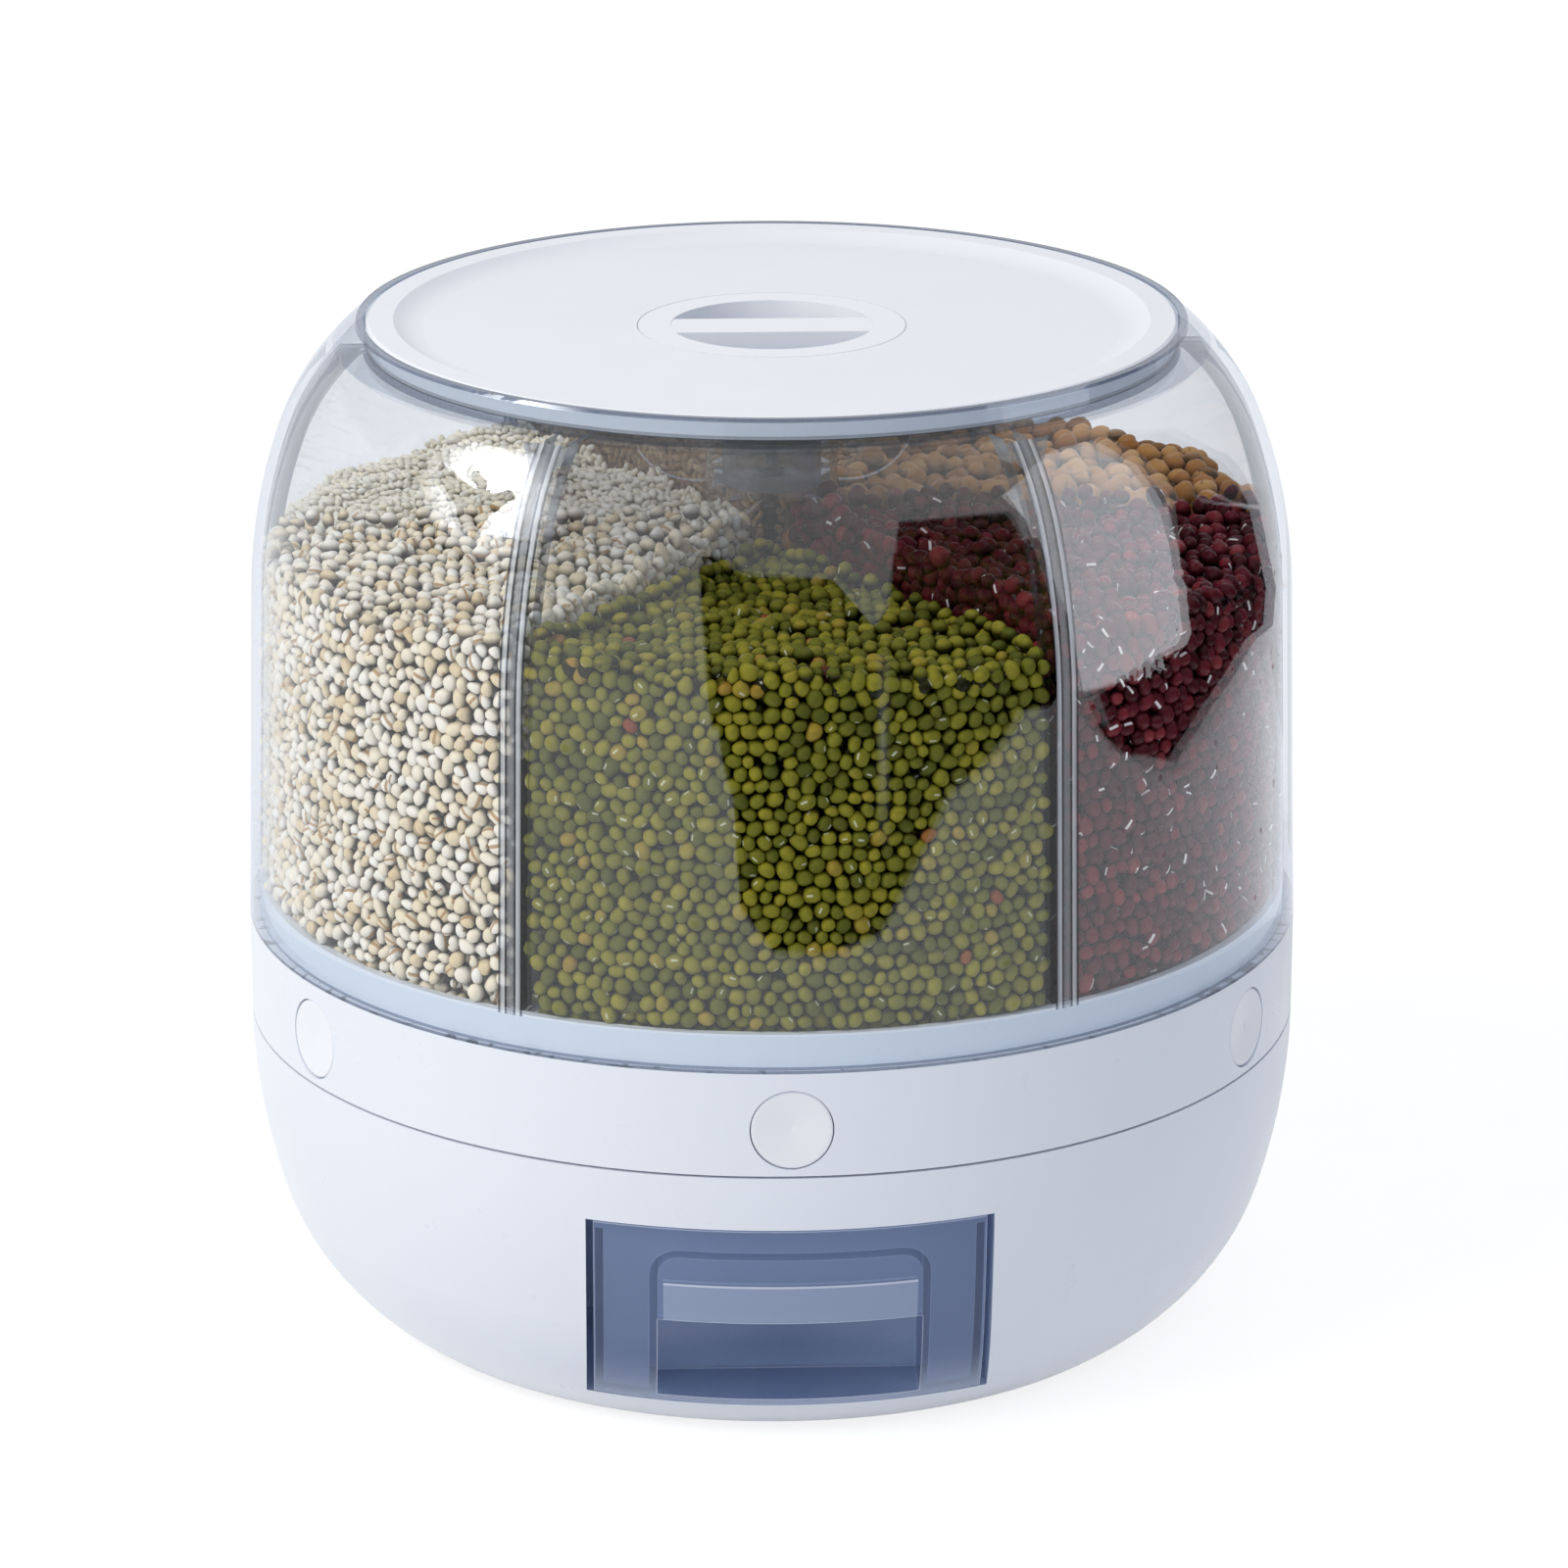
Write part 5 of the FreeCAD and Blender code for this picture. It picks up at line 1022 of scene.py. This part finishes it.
def lay_floor():
    """A pale floor that shows white with a soft shadow, and throws plain light up at the object."""
    corners = [(x * FLOOR_HALF, y * FLOOR_HALF, 0) for x, y in ((-1, -1), (1, -1), (1, 1), (-1, 1))]
    floor = flat_mesh("floor", corners, [(0, 1, 2, 3)])
    material, n = new_material("pale_floor")
    pale = n.mix(n.cloud(30.0), (0.83, 0.84, 0.85), (0.87, 0.88, 0.89))
    matt = n.principled(Base_Color=pale, Roughness=0.8)
    glow = n.add("ShaderNodeEmission")
    n.put(CLEAR, glow.inputs["Color"])
    glow.inputs["Strength"].default_value = FLOOR_GLOW
    n.finish(n.blend(n.times(is_seen(n), FLOOR_SHARE), matt, glow.outputs["Emission"]))
    floor.data.materials.append(material)


# Panels that stand where the drum's wall reflects them: outlines and places in pixels of the picture.
# Each has its light in the middle and at its edge.
PANELS = {
    "dark_window": dict(light=(0.0, 0.0), outline=[
        (711, 562), (760, 588), (850, 592), (893, 640), (922, 600), (918, 532), (1030, 522), (1058, 572),
        (1082, 640), (1078, 708), (1020, 765), (972, 815), (930, 900), (900, 955), (850, 978), (790, 975),
        (755, 930), (748, 820), (722, 720)]),
    "dark_side": dict(light=(0.0, 0.0), outline=[
        (1200, 505), (1285, 520), (1302, 600), (1298, 640), (1235, 720), (1200, 780), (1150, 770), (1110, 730),
        (1105, 712), (1190, 692), (1222, 655), (1214, 580)]),
    "side_light": dict(light=(4.2, 4.0), outline=[
        (1026, 503), (1070, 462), (1115, 450), (1160, 474), (1192, 520), (1210, 590), (1216, 650), (1188, 684),
        (1105, 703), (1090, 630), (1062, 560)]),
    "dark_top": dict(light=(0.1, 0.1), outline=[
        (1125, 442), (1168, 466), (1202, 504), (1285, 516), (1262, 472), (1200, 438)]),
    "streak": dict(light=(1.2, 0.2), reach=0.46, outline=[
        (896, 668), (909, 668), (908, 760), (908, 862), (897, 862), (896, 760)]),
    "low_light": dict(light=(1.6, 1.4), outline=[
        (1102, 735), (1150, 790), (1205, 790), (1250, 730), (1294, 660), (1310, 760), (1308, 930), (1230, 985),
        (1102, 1020)]),
    "glow": dict(light=(44.0, 0.0), outline=[
        (405, 505), (425, 450), (470, 420), (520, 415), (566, 440), (590, 490), (585, 545), (545, 580),
        (490, 590), (435, 560)]),
}
PANEL_REACH = 0.50
PANEL_RINGS = 8
PANEL_STEP = 12.0
PANEL_LOWEST = 0.004


def camera_axes():
    """The directions to the camera's right, up and back."""
    back = np.array([math.sin(CAMERA_AZIMUTH) * math.cos(CAMERA_ELEVATION),
                     -math.cos(CAMERA_AZIMUTH) * math.cos(CAMERA_ELEVATION), math.sin(CAMERA_ELEVATION)])
    right = np.cross([0.0, 0.0, 1.0], back)
    right /= np.linalg.norm(right)
    return right, np.cross(back, right), back


def mirrored_place(wall, pixel, reach):
    """Where something has to stand for the drum's wall to show it at a pixel of the picture."""
    right, up, back = camera_axes()
    start = np.array(CAMERA_AIM) + back * CAMERA_DISTANCE
    zoom = CAMERA_LENS / CAMERA_SENSOR * PICTURE_SIZE
    half = PICTURE_SIZE / 2
    across = pixel[0] - half + CAMERA_SHIFT * PICTURE_SIZE
    direction = across * right + (half - pixel[1]) * up - zoom * back
    direction /= np.linalg.norm(direction)
    place, normal = wall.met_by(start, direction)
    bounced = direction - 2 * (direction @ normal) * normal
    if bounced[2] < 0:
        reach = min(reach, (place[2] - PANEL_LOWEST) / -bounced[2])
    return place + bounced * reach


def stand_panel(name, panel, wall, mirrored_by):
    """A studio panel that only reflections show."""
    outline = np.array(panel["outline"], dtype=float)
    edge = []
    for start, end in zip(outline, np.roll(outline, -1, axis=0)):
        pieces = max(int(np.linalg.norm(end - start) / PANEL_STEP), 1)
        edge += [start + (end - start) * i / pieces for i in range(pieces)]
    middle = outline.mean(axis=0)
    reach = panel.get("reach", PANEL_REACH)
    points = [mirrored_place(wall, middle, reach)]
    fade = [1.0]
    for ring in range(1, PANEL_RINGS + 1):
        share = ring / PANEL_RINGS
        points += [mirrored_place(wall, middle + (place - middle) * share, reach) for place in edge]
        fade += [1.0 - share] * len(edge)
    count = len(edge)
    faces = [(0, 1 + i, 1 + (i + 1) % count) for i in range(count)]
    for ring in range(PANEL_RINGS - 1):
        low = 1 + ring * count
        faces += [(low + i, low + count + i, low + count + (i + 1) % count, low + (i + 1) % count)
                  for i in range(count)]
    piece = flat_mesh(name, [tuple(p) for p in points], faces)
    attribute = piece.data.attributes.new("fade", "FLOAT", "POINT")
    attribute.data.foreach_set("value", np.array(fade, dtype=np.float32))
    material, n = new_material(name)
    share = n.add("ShaderNodeAttribute", attribute_name="fade").outputs["Fac"]
    soft = n.times(share, share)
    glow = n.add("ShaderNodeEmission")
    inner, outer = panel["light"]
    n.link(n.span(soft, 0.0, 1.0, outer, inner), glow.inputs["Strength"])
    n.link(n.mix(n.cloud(4.0), (0.95, 0.97, 1.0), (1.0, 1.0, 1.0)), glow.inputs["Color"])
    n.finish(glow.outputs["Emission"])
    material.cycles.emission_sampling = "NONE"
    piece.data.materials.append(material)
    piece.light_linking.receiver_collection = mirrored_by
    piece.visible_camera = False
    piece.visible_diffuse = False
    piece.visible_transmission = False
    piece.visible_shadow = False
    piece.visible_volume_scatter = False


def hang_key():
    """One large soft lamp from the upper left."""
    lamp = bpy.data.lights.new("key", "AREA")
    lamp.shape = "DISK"
    lamp.size = KEY_SIZE
    lamp.energy = KEY_POWER
    lamp.color = KEY_COLOR
    holder = bpy.data.objects.new("key", lamp)
    holder.location = KEY_PLACE
    holder.rotation_euler = (Vector(KEY_AIM) - Vector(KEY_PLACE)).to_track_quat("-Z", "Y").to_euler()
    holder.visible_glossy = False
    bpy.context.scene.collection.objects.link(holder)


def set_camera():
    """The camera at the photograph's place."""
    right, up, back = camera_axes()
    lens = bpy.data.cameras.new("camera")
    lens.lens = CAMERA_LENS
    lens.sensor_width = CAMERA_SENSOR
    lens.sensor_fit = "HORIZONTAL"
    lens.shift_x = CAMERA_SHIFT
    camera = bpy.data.objects.new("camera", lens)
    camera.location = CAMERA_AIM + Vector(back) * CAMERA_DISTANCE
    camera.rotation_euler = Vector(-back).to_track_quat("-Z", "Y").to_euler()
    bpy.context.scene.collection.objects.link(camera)
    bpy.context.scene.camera = camera


def build_scene():
    wall = Wall()
    dress_solids()
    pour_grain(wall)
    light_world()
    lay_floor()
    drum = bpy.data.collections.new("drum_wall")
    drum.objects.link(NODES["clear_shell"])
    for name, panel in PANELS.items():
        stand_panel(name, panel, wall, drum)
    hang_key()
    set_camera()
    bpy.context.scene.cycles.transparent_max_bounces = 64
    bpy.context.scene.view_settings.view_transform = "Standard"


build_scene()
